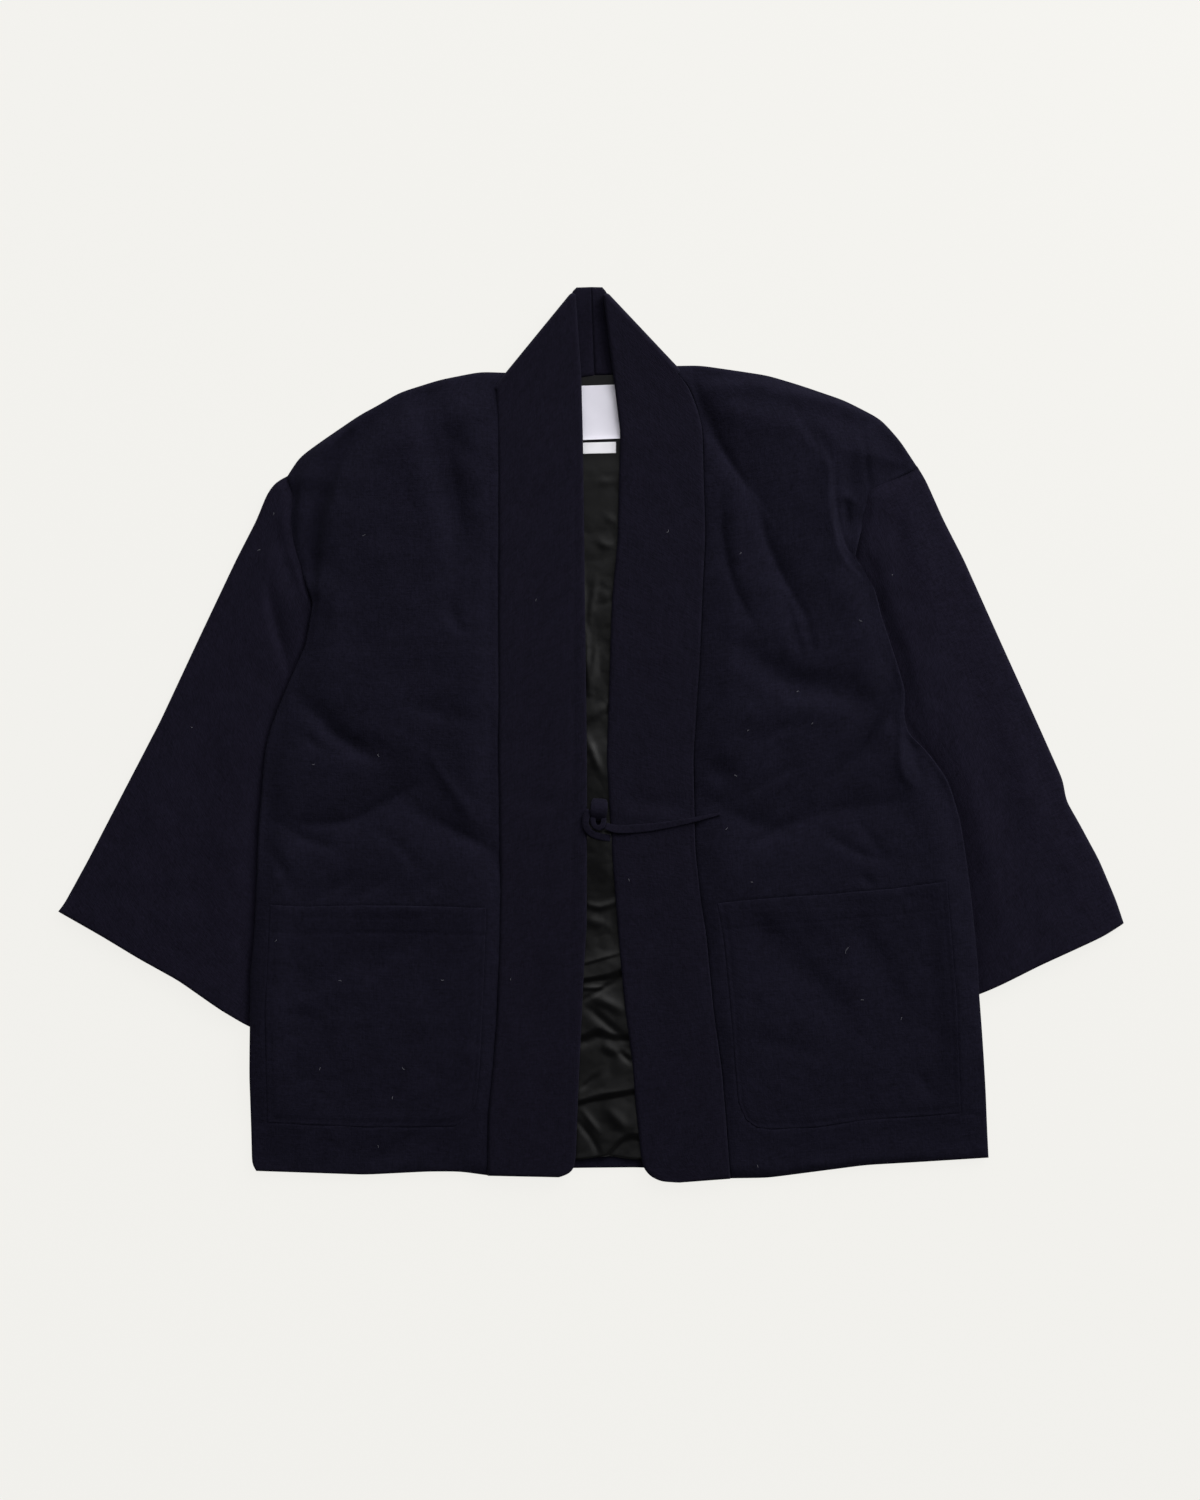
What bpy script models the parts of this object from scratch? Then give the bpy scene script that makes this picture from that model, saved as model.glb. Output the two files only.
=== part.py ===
"""Kimono jacket laid flat on its back, front side up, at its real size.

X runs across the jacket with the wearer's left at +X, Y runs from the hem to the collar, and Z is
up from the table. Sizes and places are in millimetres; add_mesh turns them into metres.
"""
import bmesh
import bpy
import numpy as np
from mathutils import Vector
from mathutils.bvhtree import BVHTree

MM = 0.001

# Walls and layers, counted up from the table
GAP = 0.3
WALL = 3.0            # wool shell, thin wadding and lining together
BAND_WALL = 4.5       # collar band: folded wool with its seam allowances
POCKET_WALL = 2.0
POCKET_REACH = 8.0    # half its section step; it clears the panel's highest point this near
LINING_WALL = 0.7
LABEL_WALL = 0.6
BACK_TOP = WALL
FRONT_REST = BACK_TOP + GAP
LINING_REST = BACK_TOP + GAP
LABEL_REST = LINING_REST + LINING_WALL + GAP
TURN_RADIUS = 2.65    # middle of the band's wall where it folds over at the neck
BAND_TOP_MIDDLE = BAND_WALL / 2 + 2 * TURN_RADIUS
BAND_TOP = BAND_TOP_MIDDLE + BAND_WALL / 2
SLEEVE_HOLLOW = 1.2   # between the two walls of a sleeve lying flat
FRONT_OVER_SLEEVE = 9.0   # underside of a front where it laps over the sleeve
LAP_FULL = 20.0       # the front is at that height this near its edge
LAP_END = 50.0        # and back on the back panel this far in
FRONT_PUFF = 2.6      # how far the fronts swell between their edges
SLEEVE_PUFF = 1.4
SWELL_RUN = 45.0      # distance from the edge over which they swell
RIM = 1.5             # width of the softened rim
RIM_DROP = 1.1
ROLL = 6.5            # the shoulder edge rolls down to the table over this width
STATION = 26.0        # longest step between sections

# Outlines of the wearer's right half (-X) and left half (+X). Each path is a list of (x, y).
# seam: front panel to band, hem to neck. free: the band's other edge, hem to neck.
# outer: hem corner, side edge lapping over the sleeve, armhole, shoulder point.
PATHS = {
    "right": {
        "seam": [(-96.8, -413.6), (-95.9, -355), (-90.2, -296), (-87.4, -257), (-85.5, -197),
                 (-84.6, -144), (-86.5, -24), (-86.5, 251), (-88.4, 321.5)],
        "neck": [(-94.6, 322.5), (-94.4, 325.5), (-88.8, 332.4), (-82.6, 339)],
        "free": [(-30, -415), (-21, -412), (-16, -407), (-14.1, -394), (-12.2, -342),
                 (-9.4, -281), (-6.6, -220), (-4.1, -180), (-3.8, -118), (-3.8, -24),
                 (-5.6, 126), (-7.5, 276), (-8.9, 333), (-14.6, 411.7)],
        "hem": [(-97.1, -413.6), (-123, -410), (-152, -410), (-212, -413), (-311, -409)],
        "outer": [(-311, -409), (-316, -400), (-319, -321), (-319.5, -278), (-319, -227),
                  (-315, -184), (-313, -137), (-311, -86), (-307, -39), (-305, -15), (-300, 5),
                  (-293, 24), (-282, 50), (-267, 84), (-260, 123), (-265, 136), (-277, 170),
                  (-280, 181), (-283, 203), (-279, 225), (-286, 241)],
        "lap": [(-319.5, -290), (-319, -227), (-315, -184), (-311, -86), (-307, -39),
                (-300, 5), (-282, 50), (-267, 84), (-261, 116)],
        "shoulder": [(-82.6, 339), (-104, 340), (-142, 333), (-180, 321), (-200, 309),
                     (-217, 300), (-255, 274), (-274, 260), (-286, 241)],
        "armhole": [(-287, 241), (-280, 225), (-284, 203), (-281, 181), (-278, 170),
                    (-266, 136), (-261, 123), (-254, 104)],
        "sleeve_outer": [(-287, 241), (-296, 237), (-304, 226), (-314, 201), (-333, 164),
                         (-369, 88), (-404, 13), (-443, -62), (-472, -118), (-495, -160),
                         (-500, -166)],
        "cuff": [(-500, -166), (-462, -187), (-424, -210), (-386, -231), (-349, -257),
                 (-321, -274), (-308, -280)],
        "sleeve_inner": [(-254, 104), (-253, 79), (-268, 41), (-279, 17), (-289, -6),
                         (-291, -34), (-297, -86), (-300, -156), (-305, -227), (-308, -280)],
        "pocket_top": [(-98, -162), (-183, -160), (-227, -160), (-269, -161), (-300, -159)],
        "pocket_outer": [(-303.5, -364), (-305, -259), (-300, -159)],
        "pocket_inner": [(-115, -358), (-108, -345), (-104.5, -316), (-102, -267), (-100, -217),
                         (-98, -162)],
        "pocket_bottom": [(-115, -358), (-127, -367.5), (-152, -368), (-212, -368),
                          (-303.5, -364)],
        "band_back": [(0.3, 420), (3.0, 337.6)],
        "band_back_top": (-10.0, 419.6),
    },
    "left": {
        "seam": [(130.7, -416.4), (126.9, -366), (122.8, -316), (114.7, -257), (108.1, -188),
                 (102.5, -151), (97.8, -108), (95.9, -23), (102.1, 66), (104.3, 128),
                 (107.2, 189), (104.3, 288), (98.7, 308), (91.2, 326), (81.1, 337.8)],
        "neck": [(87.5, 338), (86.6, 342), (87.5, 345)],
        "free": [(83, -420), (66, -419), (56, -414.5), (49.5, -407), (47, -396),
                 (41.4, -342), (39.5, -312), (32.5, -261), (27.3, -208), (20.3, -118),
                 (14.7, -24), (19.7, 126), (24.4, 182), (25.4, 286), (20.2, 335), (11.8, 410.3)],
        "hem": [(131, -416.5), (166, -416), (212, -410), (258, -404), (310, -401), (373, -397)],
        "outer": [(373, -397), (370, -336), (366, -276), (363.5, -243), (362, -212),
                  (357, -162), (352, -121), (346, -82), (338, -54), (333, -41), (321, -24),
                  (311, -12), (297, 1), (293, 18), (294, 41), (289, 59), (279, 90), (272, 110),
                  (266, 136), (257, 149), (246, 162), (254, 194), (259, 212), (261, 227),
                  (307, 250)],
        "lap": [(365, -262), (362, -212), (357, -162), (352, -121), (346, -82), (333, -41),
                (311, -12), (295, 12), (293, 41), (279, 90), (266, 136), (250, 158)],
        "shoulder": [(87.5, 345), (102, 346), (140, 341), (166, 337), (196, 328), (237, 314),
                     (253, 306), (272, 296), (290, 276), (307, 250)],
        "armhole": [(308, 249), (262, 226), (260, 212), (255, 194), (247, 162), (240, 150)],
        "sleeve_outer": [(308, 249), (314, 239), (331, 201), (350, 164), (384, 88), (418, 13),
                         (443, -43), (446, -62), (457, -81), (477, -118), (493, -156),
                         (500, -174)],
        "cuff": [(500, -174), (460, -198), (422, -215), (384, -234), (350, -250)],
        "sleeve_inner": [(240, 150), (248, 135), (256, 121), (258, 102), (265, 84), (274, 53),
                         (280, 39), (279, 18), (283, -6), (298, -22), (308, -34), (320, -50),
                         (332, -84), (337, -124), (343, -164), (348, -213), (350, -250)],
        "pocket_top": [(118, -158), (152, -154), (212, -150), (283, -144), (333, -137)],
        "pocket_outer": [(346.5, -355), (342, -247), (333, -137)],
        "pocket_inner": [(145, -361), (138, -345), (133, -287), (130, -247), (125, -197),
                         (118, -158)],
        "pocket_bottom": [(145, -361), (156, -369), (172, -370), (212, -368), (251, -362),
                          (346.5, -355)],
        "band_back": [(0.6, 420), (3.3, 337.6)],
        "band_back_top": (4.0, 420),
    },
}

# Largest folds: path, height of its crest or trough, half width
FOLDS = {
    "front_right": [
        (((-200, 309), (-236, 256), (-248, 220), (-269, 196)), -3.6, 14),
        (((-206, 300), (-250, 268), (-276, 242)), 1.5, 10),
        (((-226, 250), (-238, 205), (-243, 160), (-250, 110)), 2.4, 13),
        (((-155, 311), (-148, 273), (-131, 217), (-121, 172), (-126, 119)), -1.5, 14),
        (((-274, 26), (-229, -9), (-196, -23)), -2.0, 10),
        (((-250, -44), (-200, -36), (-160, -18)), 1.4, 15),
        (((-279, -80), (-240, -70), (-214, -71), (-191, -57), (-154, -42)), -2.6, 17),
        (((-162, -80), (-112, -96), (-92, -103)), -1.5, 12),
        (((-90, -12), (-95, -46), (-110, -71)), -1.5, 10),
        (((-270, -110), (-230, -118), (-180, -112)), 1.2, 16),
    ],
    "front_left": [
        (((103, 307), (128, 262), (150, 226)), -2.6, 10),
        (((121, 224), (124, 177), (133, 134), (152, 102), (156, 84)), -1.5, 12),
        (((157, 213), (167, 164), (187, 133), (201, 96), (204, 70)), -1.5, 13),
        (((169, 102), (182, 61), (201, 46), (231, 41), (252, 34)), -2.4, 16),
        (((285, 49), (274, 26), (250, -16), (226, -51)), -3.0, 11),
        (((100, -68), (150, -66), (196, -73), (256, -60), (275, -43)), -2.8, 17),
        (((110, -34), (170, -24), (220, -34)), 1.4, 15),
        (((204, -89), (227, -101), (256, -116), (275, -116)), -1.5, 11),
        (((111, 326), (150, 329), (201, 314), (251, 300)), 1.4, 10),
        (((250, 282), (249, 250), (250, 224), (246, 195)), -3.0, 10),
        (((218, 262), (217, 206), (226, 170)), 2.0, 12),
    ],
    "sleeve_right": [
        (((-302, 140), (-297, 112), (-288, 76), (-282, 55)), -1.8, 9),
        (((-291, 184), (-282, 150)), -1.4, 11),
        (((-345, 60), (-375, -60), (-400, -150)), -0.9, 24),
        (((-390, 0), (-430, -110)), 0.8, 22),
    ],
    "sleeve_left": [
        (((276, 135), (286, 70), (300, 30)), -1.5, 13),
        (((330, 130), (375, 0), (400, -110)), -0.9, 24),
        (((385, 40), (430, -90)), 0.8, 22),
    ],
    "lining": [
        (((-6, 120), (12, 95)), 0.8, 9),
        (((2, 10), (16, -12)), 0.9, 8),
        (((-4, -238), (22, -262)), 1.0, 7),
        (((-8, -300), (30, -318)), 0.9, 8),
        (((-10, -372), (34, -366)), 0.9, 7),
    ],
}

# Back panel, anticlockwise from the wearer's right hem corner
BACK_OUTLINE = [
    (-309, -406), (-212, -410), (-123, -407), (-98, -409), (-10, -407), (46, -406.5),
    (104, -411), (178, -411), (258, -401), (310, -398), (370, -394), (367, -336), (363, -276),
    (361, -258), (351, -252), (346, -250), (342, -213), (337, -164), (331, -124), (326, -84),
    (315, -54), (305, -36), (295, -22), (280, -8), (276, 18), (276, 38), (271, 53), (262, 84),
    (255, 102), (253, 120), (245, 134), (237, 150), (244, 164), (251, 194), (256, 212),
    (258, 229), (298, 249), (284, 270), (267, 288), (249, 298), (233, 306), (193, 320),
    (164, 329), (139, 333), (102, 337.5), (84, 336.5), (3.3, 336.6), (-88, 320.4), (-95, 321.2),
    (-99, 331), (-140, 325), (-176, 313.5), (-196, 302), (-213, 293), (-250, 267), (-268, 254),
    (-278, 240), (-271, 225), (-276, 203), (-273, 181), (-270, 170), (-258, 136), (-252, 122),
    (-246, 104), (-246, 79), (-262, 38), (-273, 14), (-283, -8), (-286, -34), (-292, -86),
    (-295, -156), (-300, -227), (-302, -276), (-306, -284), (-317, -287), (-317, -321),
    (-314, -400),
]

# Lining strip between the bands: y, x where it starts under one band, x where it ends
LINING_SECTIONS = [
    (-396, -26, 60), (-345, -24, 54), (-262, -20, 46), (-180, -16, 38), (-100, -15, 32),
    (-20, -15, 28), (60, -15, 30), (130, -16, 32), (200, -17, 37), (280, -18, 38), (318, -18, 36), (334, -10, 33),
]
LABELS = {
    "label_main": [(-14, 276), (34, 276), (33, 327), (-13, 327)],
    "label_origin": [(-13, 264), (24, 264), (24, 274.5), (-13, 274.5)],
}

# Ties. The knot is a loop of the right tie; the left tie runs out of it to its free end.
LOOP_MIDDLE = (5.2, -79.0)
LOOP_HALF = (9.4, 15.5)
TIE_RADIUS = 2.4
TIE_REST = BAND_TOP + GAP
TIE_ROUTE = [(17.6, -89.5), (40, -89.0), (60, -87.5), (78, -84.5), (98, -80.0), (119, -76.0)]
TIE_WIDTH = 8.0
TIE_WALL = 2.2

# Colours are linear RGB
MATERIALS = {
    "wool": ((0.0080, 0.0072, 0.0125), 0.92),
    "satin": ((0.012, 0.012, 0.011), 0.35),
    "label": ((0.62, 0.60, 0.66), 0.6),
}


def material(name):
    """A Principled material, made the first time it is asked for."""
    found = bpy.data.materials.get(name)
    if found:
        return found
    colour, roughness = MATERIALS[name]
    made = bpy.data.materials.new(name)
    made.use_nodes = True
    shader = made.node_tree.nodes["Principled BSDF"]
    shader.inputs["Base Color"].default_value = (*colour, 1.0)
    shader.inputs["Roughness"].default_value = roughness
    shader.inputs["Metallic"].default_value = 0.0
    return made


def add_mesh(name, points, faces, finish):
    """A named object from points in millimetres, with its faces turned outwards."""
    mesh = bpy.data.meshes.new(name)
    mesh.from_pydata([tuple(float(c) * MM for c in p) for p in points], [], faces)
    body = bmesh.new()
    body.from_mesh(mesh)
    bmesh.ops.recalc_face_normals(body, faces=body.faces)
    body.to_mesh(mesh)
    body.free()
    mesh.shade_smooth()
    mesh.materials.append(material(finish))
    part = bpy.data.objects.new(name, mesh)
    jacket.objects.link(part)
    return part


def strip_faces(count, rings, start=0):
    """Quads that join closed rings of `count` points, one after another."""
    faces = []
    for ring in range(rings - 1):
        low = start + ring * count
        for i in range(count):
            j = (i + 1) % count
            faces.append((low + i, low + j, low + count + j, low + count + i))
    return faces


def loft(name, rings, finish):
    """A closed wall through flat rings whose upper points are followed by the lower ones."""
    count = len(rings[0])
    faces = strip_faces(count, len(rings))
    for first in (0, (len(rings) - 1) * count):
        for i in range(count // 2 - 1):
            faces.append((first + i, first + i + 1, first + count - 2 - i, first + count - 1 - i))
    return add_mesh(name, [p for ring in rings for p in ring], faces, finish)


def tube(name, outer, inner, finish):
    """A wall between two stacks of rings, open at both ends."""
    count = len(outer[0])
    inside = len(outer) * count
    faces = strip_faces(count, len(outer)) + strip_faces(count, len(inner), inside)
    for first in (0, (len(outer) - 1) * count):
        for i in range(count):
            j = (i + 1) % count
            faces.append((first + i, first + j, inside + first + j, inside + first + i))
    return add_mesh(name, [p for ring in outer + inner for p in ring], faces, finish)


def shares_of(path):
    """How far along the path each of its points lies, from 0 to 1."""
    steps = np.linalg.norm(np.diff(np.array(path, float), axis=0), axis=1)
    return np.concatenate([[0.0], np.cumsum(steps)]) / steps.sum()


def length_of(path):
    return np.linalg.norm(np.diff(np.array(path, float), axis=0), axis=1).sum()


def along(path, shares):
    """Points at the given shares of the path's length."""
    known = shares_of(path)
    points = np.array(path, float)
    return np.stack([np.interp(shares, known, points[:, axis]) for axis in (0, 1)], axis=-1)


def stations(paths, rims=(), step=STATION):
    """Shares where sections go: at the paths' own points and no further apart than the step."""
    longest = max(length_of(path) for path in paths)
    marks = sorted({round(float(s), 5) for path in paths for s in shares_of(path)} | set(rims))
    kept = [marks[0]]
    for mark in marks[1:]:
        if mark - kept[-1] > RIM / longest / 2:
            kept.append(mark)
    kept[-1] = 1.0
    full = []
    for a, b in zip(kept, kept[1:]):
        pieces = max(1, int(np.ceil((b - a) * longest / step)))
        full.extend(a + (b - a) * k / pieces for k in range(pieces))
    return np.array(full + [1.0])


def panel_points(bottom, top, start, end, across, up):
    """Plan points of a four-sided panel, indexed [up][across], from its four edge paths."""
    low, high = along(bottom, across), along(top, across)
    first, last = along(start, up), along(end, up)
    u = across[None, :, None]
    v = up[:, None, None]
    ruled = (1 - v) * low[None] + v * high[None] + (1 - u) * first[:, None] + u * last[:, None]
    corners = ((1 - u) * (1 - v) * low[0] + u * (1 - v) * low[-1]
               + (1 - u) * v * high[0] + u * v * high[-1])
    return ruled - corners


def distance(points, path):
    """Distance of each point from a path, and the share of the path's length where it is met."""
    path = np.array(path, float)
    ends = shares_of(path)
    best = np.full(points.shape[:-1], np.inf)
    share = np.zeros(points.shape[:-1])
    for i, (a, b) in enumerate(zip(path, path[1:])):
        run = b - a
        if not run.any():
            continue
        t = np.clip((points - a) @ run / (run @ run), 0, 1)
        away = np.linalg.norm(points - (a + t[..., None] * run), axis=-1)
        nearer = away < best
        best = np.where(nearer, away, best)
        share = np.where(nearer, ends[i] + t * (ends[i + 1] - ends[i]), share)
    return best, share


def smooth(x):
    x = np.clip(x, 0, 1)
    return x * x * (3 - 2 * x)


def fold_height(points, folds):
    """Sum of the folds: a soft crest or trough along each path, fading towards its ends."""
    total = np.zeros(points.shape[:-1])
    for path, height, half_width in folds:
        away, share = distance(points, path)
        fade = np.sin(np.pi * (0.1 + 0.8 * share)) ** 0.5
        total += height * fade * np.exp(-((away / half_width) ** 2))
    return total


def lap_lift(points, side):
    """How far a front is raised where it laps over the sleeve."""
    away, _ = distance(points, PATHS[side]["lap"])
    run = (LAP_END - away) / (LAP_END - LAP_FULL)
    return (FRONT_OVER_SLEEVE - FRONT_REST) * smooth(run)


def front_swell(points, side):
    edge = PATHS[side]["hem"] + PATHS[side]["outer"] + PATHS[side]["shoulder"][::-1]
    away, _ = distance(points, edge)
    folds = fold_height(points, FOLDS["front_" + side])
    return FRONT_PUFF * smooth(away / SWELL_RUN) + folds * smooth(away / RIM / 4)


def front_top(points, side):
    return FRONT_REST + WALL + lap_lift(points, side) + np.maximum(front_swell(points, side), -0.4)


def front_bottom(points, side):
    return FRONT_REST + lap_lift(points, side) + np.clip(0.6 * front_swell(points, side), 0, 2.8)


def rim_drop(shape):
    """Lowering of a panel's upper points along its four edges."""
    drop = np.zeros(shape)
    drop[[0, -1], :] = RIM_DROP
    drop[:, [0, -1]] = RIM_DROP
    return drop


def slab_rings(plan, top, bottom):
    rings = []
    for row, upper, lower in zip(plan, top, bottom):
        over = [(x, y, z) for (x, y), z in zip(row, upper)]
        under = [(x, y, z) for (x, y), z in zip(row, lower)]
        rings.append(over + under[::-1])
    return rings


def rim_shares(path, at_end=(RIM,), at_start=(RIM,)):
    """Shares for the sections beside a panel's rims."""
    whole = length_of(path)
    return tuple(d / whole for d in at_start) + tuple(1 - d / whole for d in at_end)


def height_on(part, plan):
    """Height of a built panel's upper surface above each plan point, in millimetres."""
    mesh = part.data
    tree = BVHTree.FromPolygons([v.co for v in mesh.vertices], [p.vertices for p in mesh.polygons])
    heights = np.empty(plan.shape[:2])
    for index in np.ndindex(*heights.shape):
        x, y = plan[index]
        hit, _, _, _ = tree.ray_cast(Vector((x * MM, y * MM, 1.0)), Vector((0, 0, -1)))
        heights[index] = hit.z / MM
    return heights


def build_front(side):
    paths = PATHS[side]
    outward = -1 if side == "right" else 1
    inner = [(x + outward * GAP, y) for x, y in paths["seam"][:-1]] + paths["neck"]
    across = stations([paths["hem"]], rim_shares(paths["hem"]))
    up = stations([inner, paths["outer"]], rim_shares(inner, at_end=(RIM, ROLL)))
    plan = panel_points(paths["hem"], paths["shoulder"], inner, paths["outer"], across, up)
    top = front_top(plan, side) - rim_drop(plan.shape[:2])
    bottom = front_bottom(plan, side)
    # The shoulder rolls down over the back panel's edge to the table
    top[-1] = FRONT_REST + 1.0
    bottom[-1] = 1.2
    bottom[-2] = 0.0
    return loft("front_" + side, slab_rings(plan, top, bottom), "wool")


def build_back():
    outline = bpy.data.curves.new("back", "CURVE")
    outline.dimensions = "2D"
    outline.fill_mode = "BOTH"
    outline.extrude = WALL / 2 * MM
    spline = outline.splines.new("POLY")
    spline.points.add(len(BACK_OUTLINE) - 1)
    for point, (x, y) in zip(spline.points, BACK_OUTLINE):
        point.co = (x * MM, y * MM, 0, 1)
    spline.use_cyclic_u = True
    outline.materials.append(material("wool"))
    part = bpy.data.objects.new("back", outline)
    part.location.z = WALL / 2 * MM
    jacket.objects.link(part)


def build_sleeve(side):
    """A flattened tube: upper wall, a roll at each side, and the lower wall on the table."""
    paths = PATHS[side]
    armhole = paths["armhole"]
    across = stations([armhole], rim_shares(armhole, (WALL, 7.0), (WALL, 7.0)), 30.0)
    up = stations([paths["sleeve_outer"]], step=36.0)
    plan = panel_points(armhole, paths["cuff"], paths["sleeve_outer"], paths["sleeve_inner"],
                        across, up)
    sides = paths["sleeve_outer"] + paths["sleeve_inner"][::-1]
    away, _ = distance(plan, sides)
    folds = fold_height(plan, FOLDS["sleeve_" + side])
    swell = (SLEEVE_PUFF + folds) * smooth(away / SWELL_RUN)
    roof = WALL + SLEEVE_HOLLOW
    outer, inner = [], []
    for row, extra in zip(plan, swell):
        height = roof + WALL + extra
        height[[0, -1]] = roof
        over = [(x, y, z) for (x, y), z in zip(row, height)]
        under = [(x, y, 0.0) for x, y in row[1:-1]]
        # The side points sit a little above the table, so the sides are rounded
        over[0] = (*row[0], roof)
        over[-1] = (*row[-1], roof)
        low_first = (*row[0], WALL * 0.6)
        low_last = (*row[-1], WALL * 0.6)
        outer.append(over + [low_last] + under[::-1] + [low_first])
        shrunk = row.copy()
        shrunk[0] = row[0] + (row[1] - row[0]) * 0.97
        shrunk[-1] = row[-1] + (row[-2] - row[-1]) * 0.97
        shrunk[1] = row[1] + (row[2] - row[1]) * 0.3
        shrunk[-2] = row[-2] + (row[-3] - row[-2]) * 0.3
        ceiling = roof + np.clip(extra * 0.9, 0, 1.6)
        floor = WALL
        hollow_over = [(x, y, z) for (x, y), z in zip(shrunk, ceiling)]
        hollow_over[0] = (*shrunk[0], floor + SLEEVE_HOLLOW * 0.7)
        hollow_over[-1] = (*shrunk[-1], floor + SLEEVE_HOLLOW * 0.7)
        hollow_low_last = (*shrunk[-1], floor + SLEEVE_HOLLOW * 0.3)
        hollow_low_first = (*shrunk[0], floor + SLEEVE_HOLLOW * 0.3)
        hollow_under = [(x, y, floor) for x, y in shrunk[1:-1]]
        inner.append(hollow_over + [hollow_low_last] + hollow_under[::-1] + [hollow_low_first])
    tube("sleeve_" + side, outer, inner, "wool")


def band_ring(seam_point, free_point, normal):
    """Section of the band's tape: a flat rounded bar across from the seam to the free edge."""
    seam_point, free_point, normal = (np.array(p, float) for p in (seam_point, free_point, normal))
    width = np.linalg.norm(free_point - seam_point)
    steps = [0.0, RIM / width, 0.25, 0.5, 0.75, 1 - RIM / width, 1.0]
    halves = [BAND_WALL / 2 * (0.55 if step in (0.0, 1.0) else 1.0) for step in steps]
    middle = [seam_point + (free_point - seam_point) * step for step in steps]
    over = [m + normal * h for m, h in zip(middle, halves)]
    under = [m - normal * h for m, h in zip(middle, halves)]
    return over + under[::-1]


def build_band(side):
    """The collar tape: up the front, folded over along a slanting line, and in to the centre back."""
    paths = PATHS[side]
    up = stations([paths["seam"]], rim_shares(paths["free"], at_end=(), at_start=(4.0, 9.0, 20.0)))
    seam, free = along(paths["seam"], up), along(paths["free"], up)
    flat = np.array((0.0, 0.0, 1.0))
    rings = [band_ring((*s, BAND_TOP_MIDDLE), (*f, BAND_TOP_MIDDLE), flat)
             for s, f in zip(seam, free)]
    fold = free[-1] - seam[-1]
    fold = fold / np.linalg.norm(fold)
    turn = 1 if side == "right" else -1
    outward = np.array((-fold[1] * turn, fold[0] * turn, 0.0))
    middle = BAND_TOP_MIDDLE - TURN_RADIUS
    for angle in np.linspace(0, np.pi, 7)[1:]:
        normal = outward * np.sin(angle) + flat * np.cos(angle)
        shift = normal * TURN_RADIUS
        ends = [np.array((*p, middle)) + shift for p in (seam[-1], free[-1])]
        rings.append(band_ring(*ends, normal))
    low = BAND_WALL / 2
    back_free, back_seam = paths["band_back"]
    top_corner = paths["band_back_top"]
    half_way = ((seam[-1] + np.array(back_seam)) / 2, np.array(top_corner))
    for s, f in (half_way, (back_seam, back_free)):
        rings.append(band_ring((*s, low), (*f, low), -flat))
    loft("band_" + side, rings, "wool")


def build_pocket(side, front):
    """A patch made from the front panel's own upper surface, moved out."""
    paths = PATHS[side]
    step = 2 * POCKET_REACH
    across = stations([paths["pocket_bottom"]], rim_shares(paths["pocket_top"]), step)
    up = stations([paths["pocket_inner"]], rim_shares(paths["pocket_inner"]), step)
    plan = panel_points(paths["pocket_bottom"], paths["pocket_top"], paths["pocket_inner"],
                        paths["pocket_outer"], across, up)
    around = [height_on(front, plan + (np.array(shift) - 1) * POCKET_REACH)
              for shift in np.ndindex(3, 3)]
    rest = np.max(around, axis=0) + GAP
    drop = rim_drop(plan.shape[:2]) * POCKET_WALL / WALL
    loft("pocket_" + side, slab_rings(plan, rest + POCKET_WALL - drop, rest), "wool")


def build_lining():
    sections = np.array(LINING_SECTIONS, float)
    rows = np.linspace(sections[0, 0], sections[-1, 0], 37)
    start = np.interp(rows, sections[:, 0], sections[:, 1])
    end = np.interp(rows, sections[:, 0], sections[:, 2])
    across = np.linspace(0, 1, 6)
    plan = np.stack([start[:, None] + (end - start)[:, None] * across,
                     np.repeat(rows[:, None], len(across), axis=1)], axis=-1)
    bottom = np.full(plan.shape[:2], LINING_REST)
    folds = fold_height(plan, FOLDS["lining"])
    folds[:, [0, -1]] = 0
    loft("lining_back", slab_rings(plan, bottom + LINING_WALL + folds, bottom), "satin")


def build_label(name):
    """A thin box on the lining."""
    corners = LABELS[name]
    rings = []
    low, high = corners[:2], corners[:1:-1]
    for first, last in (low, high):
        ring = [(*first, LABEL_REST + LABEL_WALL), (*last, LABEL_REST + LABEL_WALL),
                (*last, LABEL_REST), (*first, LABEL_REST)]
        rings.append(ring)
    loft(name, rings, "label")


def build_tie_loop():
    loop = bpy.data.curves.new("tie_right", "CURVE")
    loop.dimensions = "3D"
    loop.bevel_depth = TIE_RADIUS * MM
    loop.bevel_resolution = 2
    spline = loop.splines.new("POLY")
    count = 16
    spline.points.add(count - 1)
    for point, angle in zip(spline.points, np.linspace(0, 2 * np.pi, count, endpoint=False)):
        x = LOOP_MIDDLE[0] + LOOP_HALF[0] * np.cos(angle)
        y = LOOP_MIDDLE[1] + LOOP_HALF[1] * np.sin(angle)
        point.co = (x * MM, y * MM, (TIE_REST + TIE_RADIUS) * MM, 1)
    spline.use_cyclic_u = True
    loop.materials.append(material("wool"))
    part = bpy.data.objects.new("tie_right", loop)
    jacket.objects.link(part)


def build_tie_end():
    route = np.array(TIE_ROUTE, float)
    points = along(TIE_ROUTE, np.linspace(0, 1, 13))
    heading = np.gradient(points, axis=0)
    heading /= np.linalg.norm(heading, axis=1)[:, None]
    rings = []
    for (x, y), (dx, dy) in zip(points, heading):
        ring = []
        for level, half in ((TIE_WALL, 0.38), (0.6 * TIE_WALL, 0.5)):
            ring.append((x + dy * half * TIE_WIDTH, y - dx * half * TIE_WIDTH, TIE_REST + level))
        ring.append((x + dy * 0.4 * TIE_WIDTH, y - dx * 0.4 * TIE_WIDTH, TIE_REST))
        mirrored = [(2 * x - px, 2 * y - py, z) for px, py, z in ring]
        rings.append([mirrored[1], mirrored[0], ring[0], ring[1], ring[2], mirrored[2]])
    loft("tie_left", rings, "wool")


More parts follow.
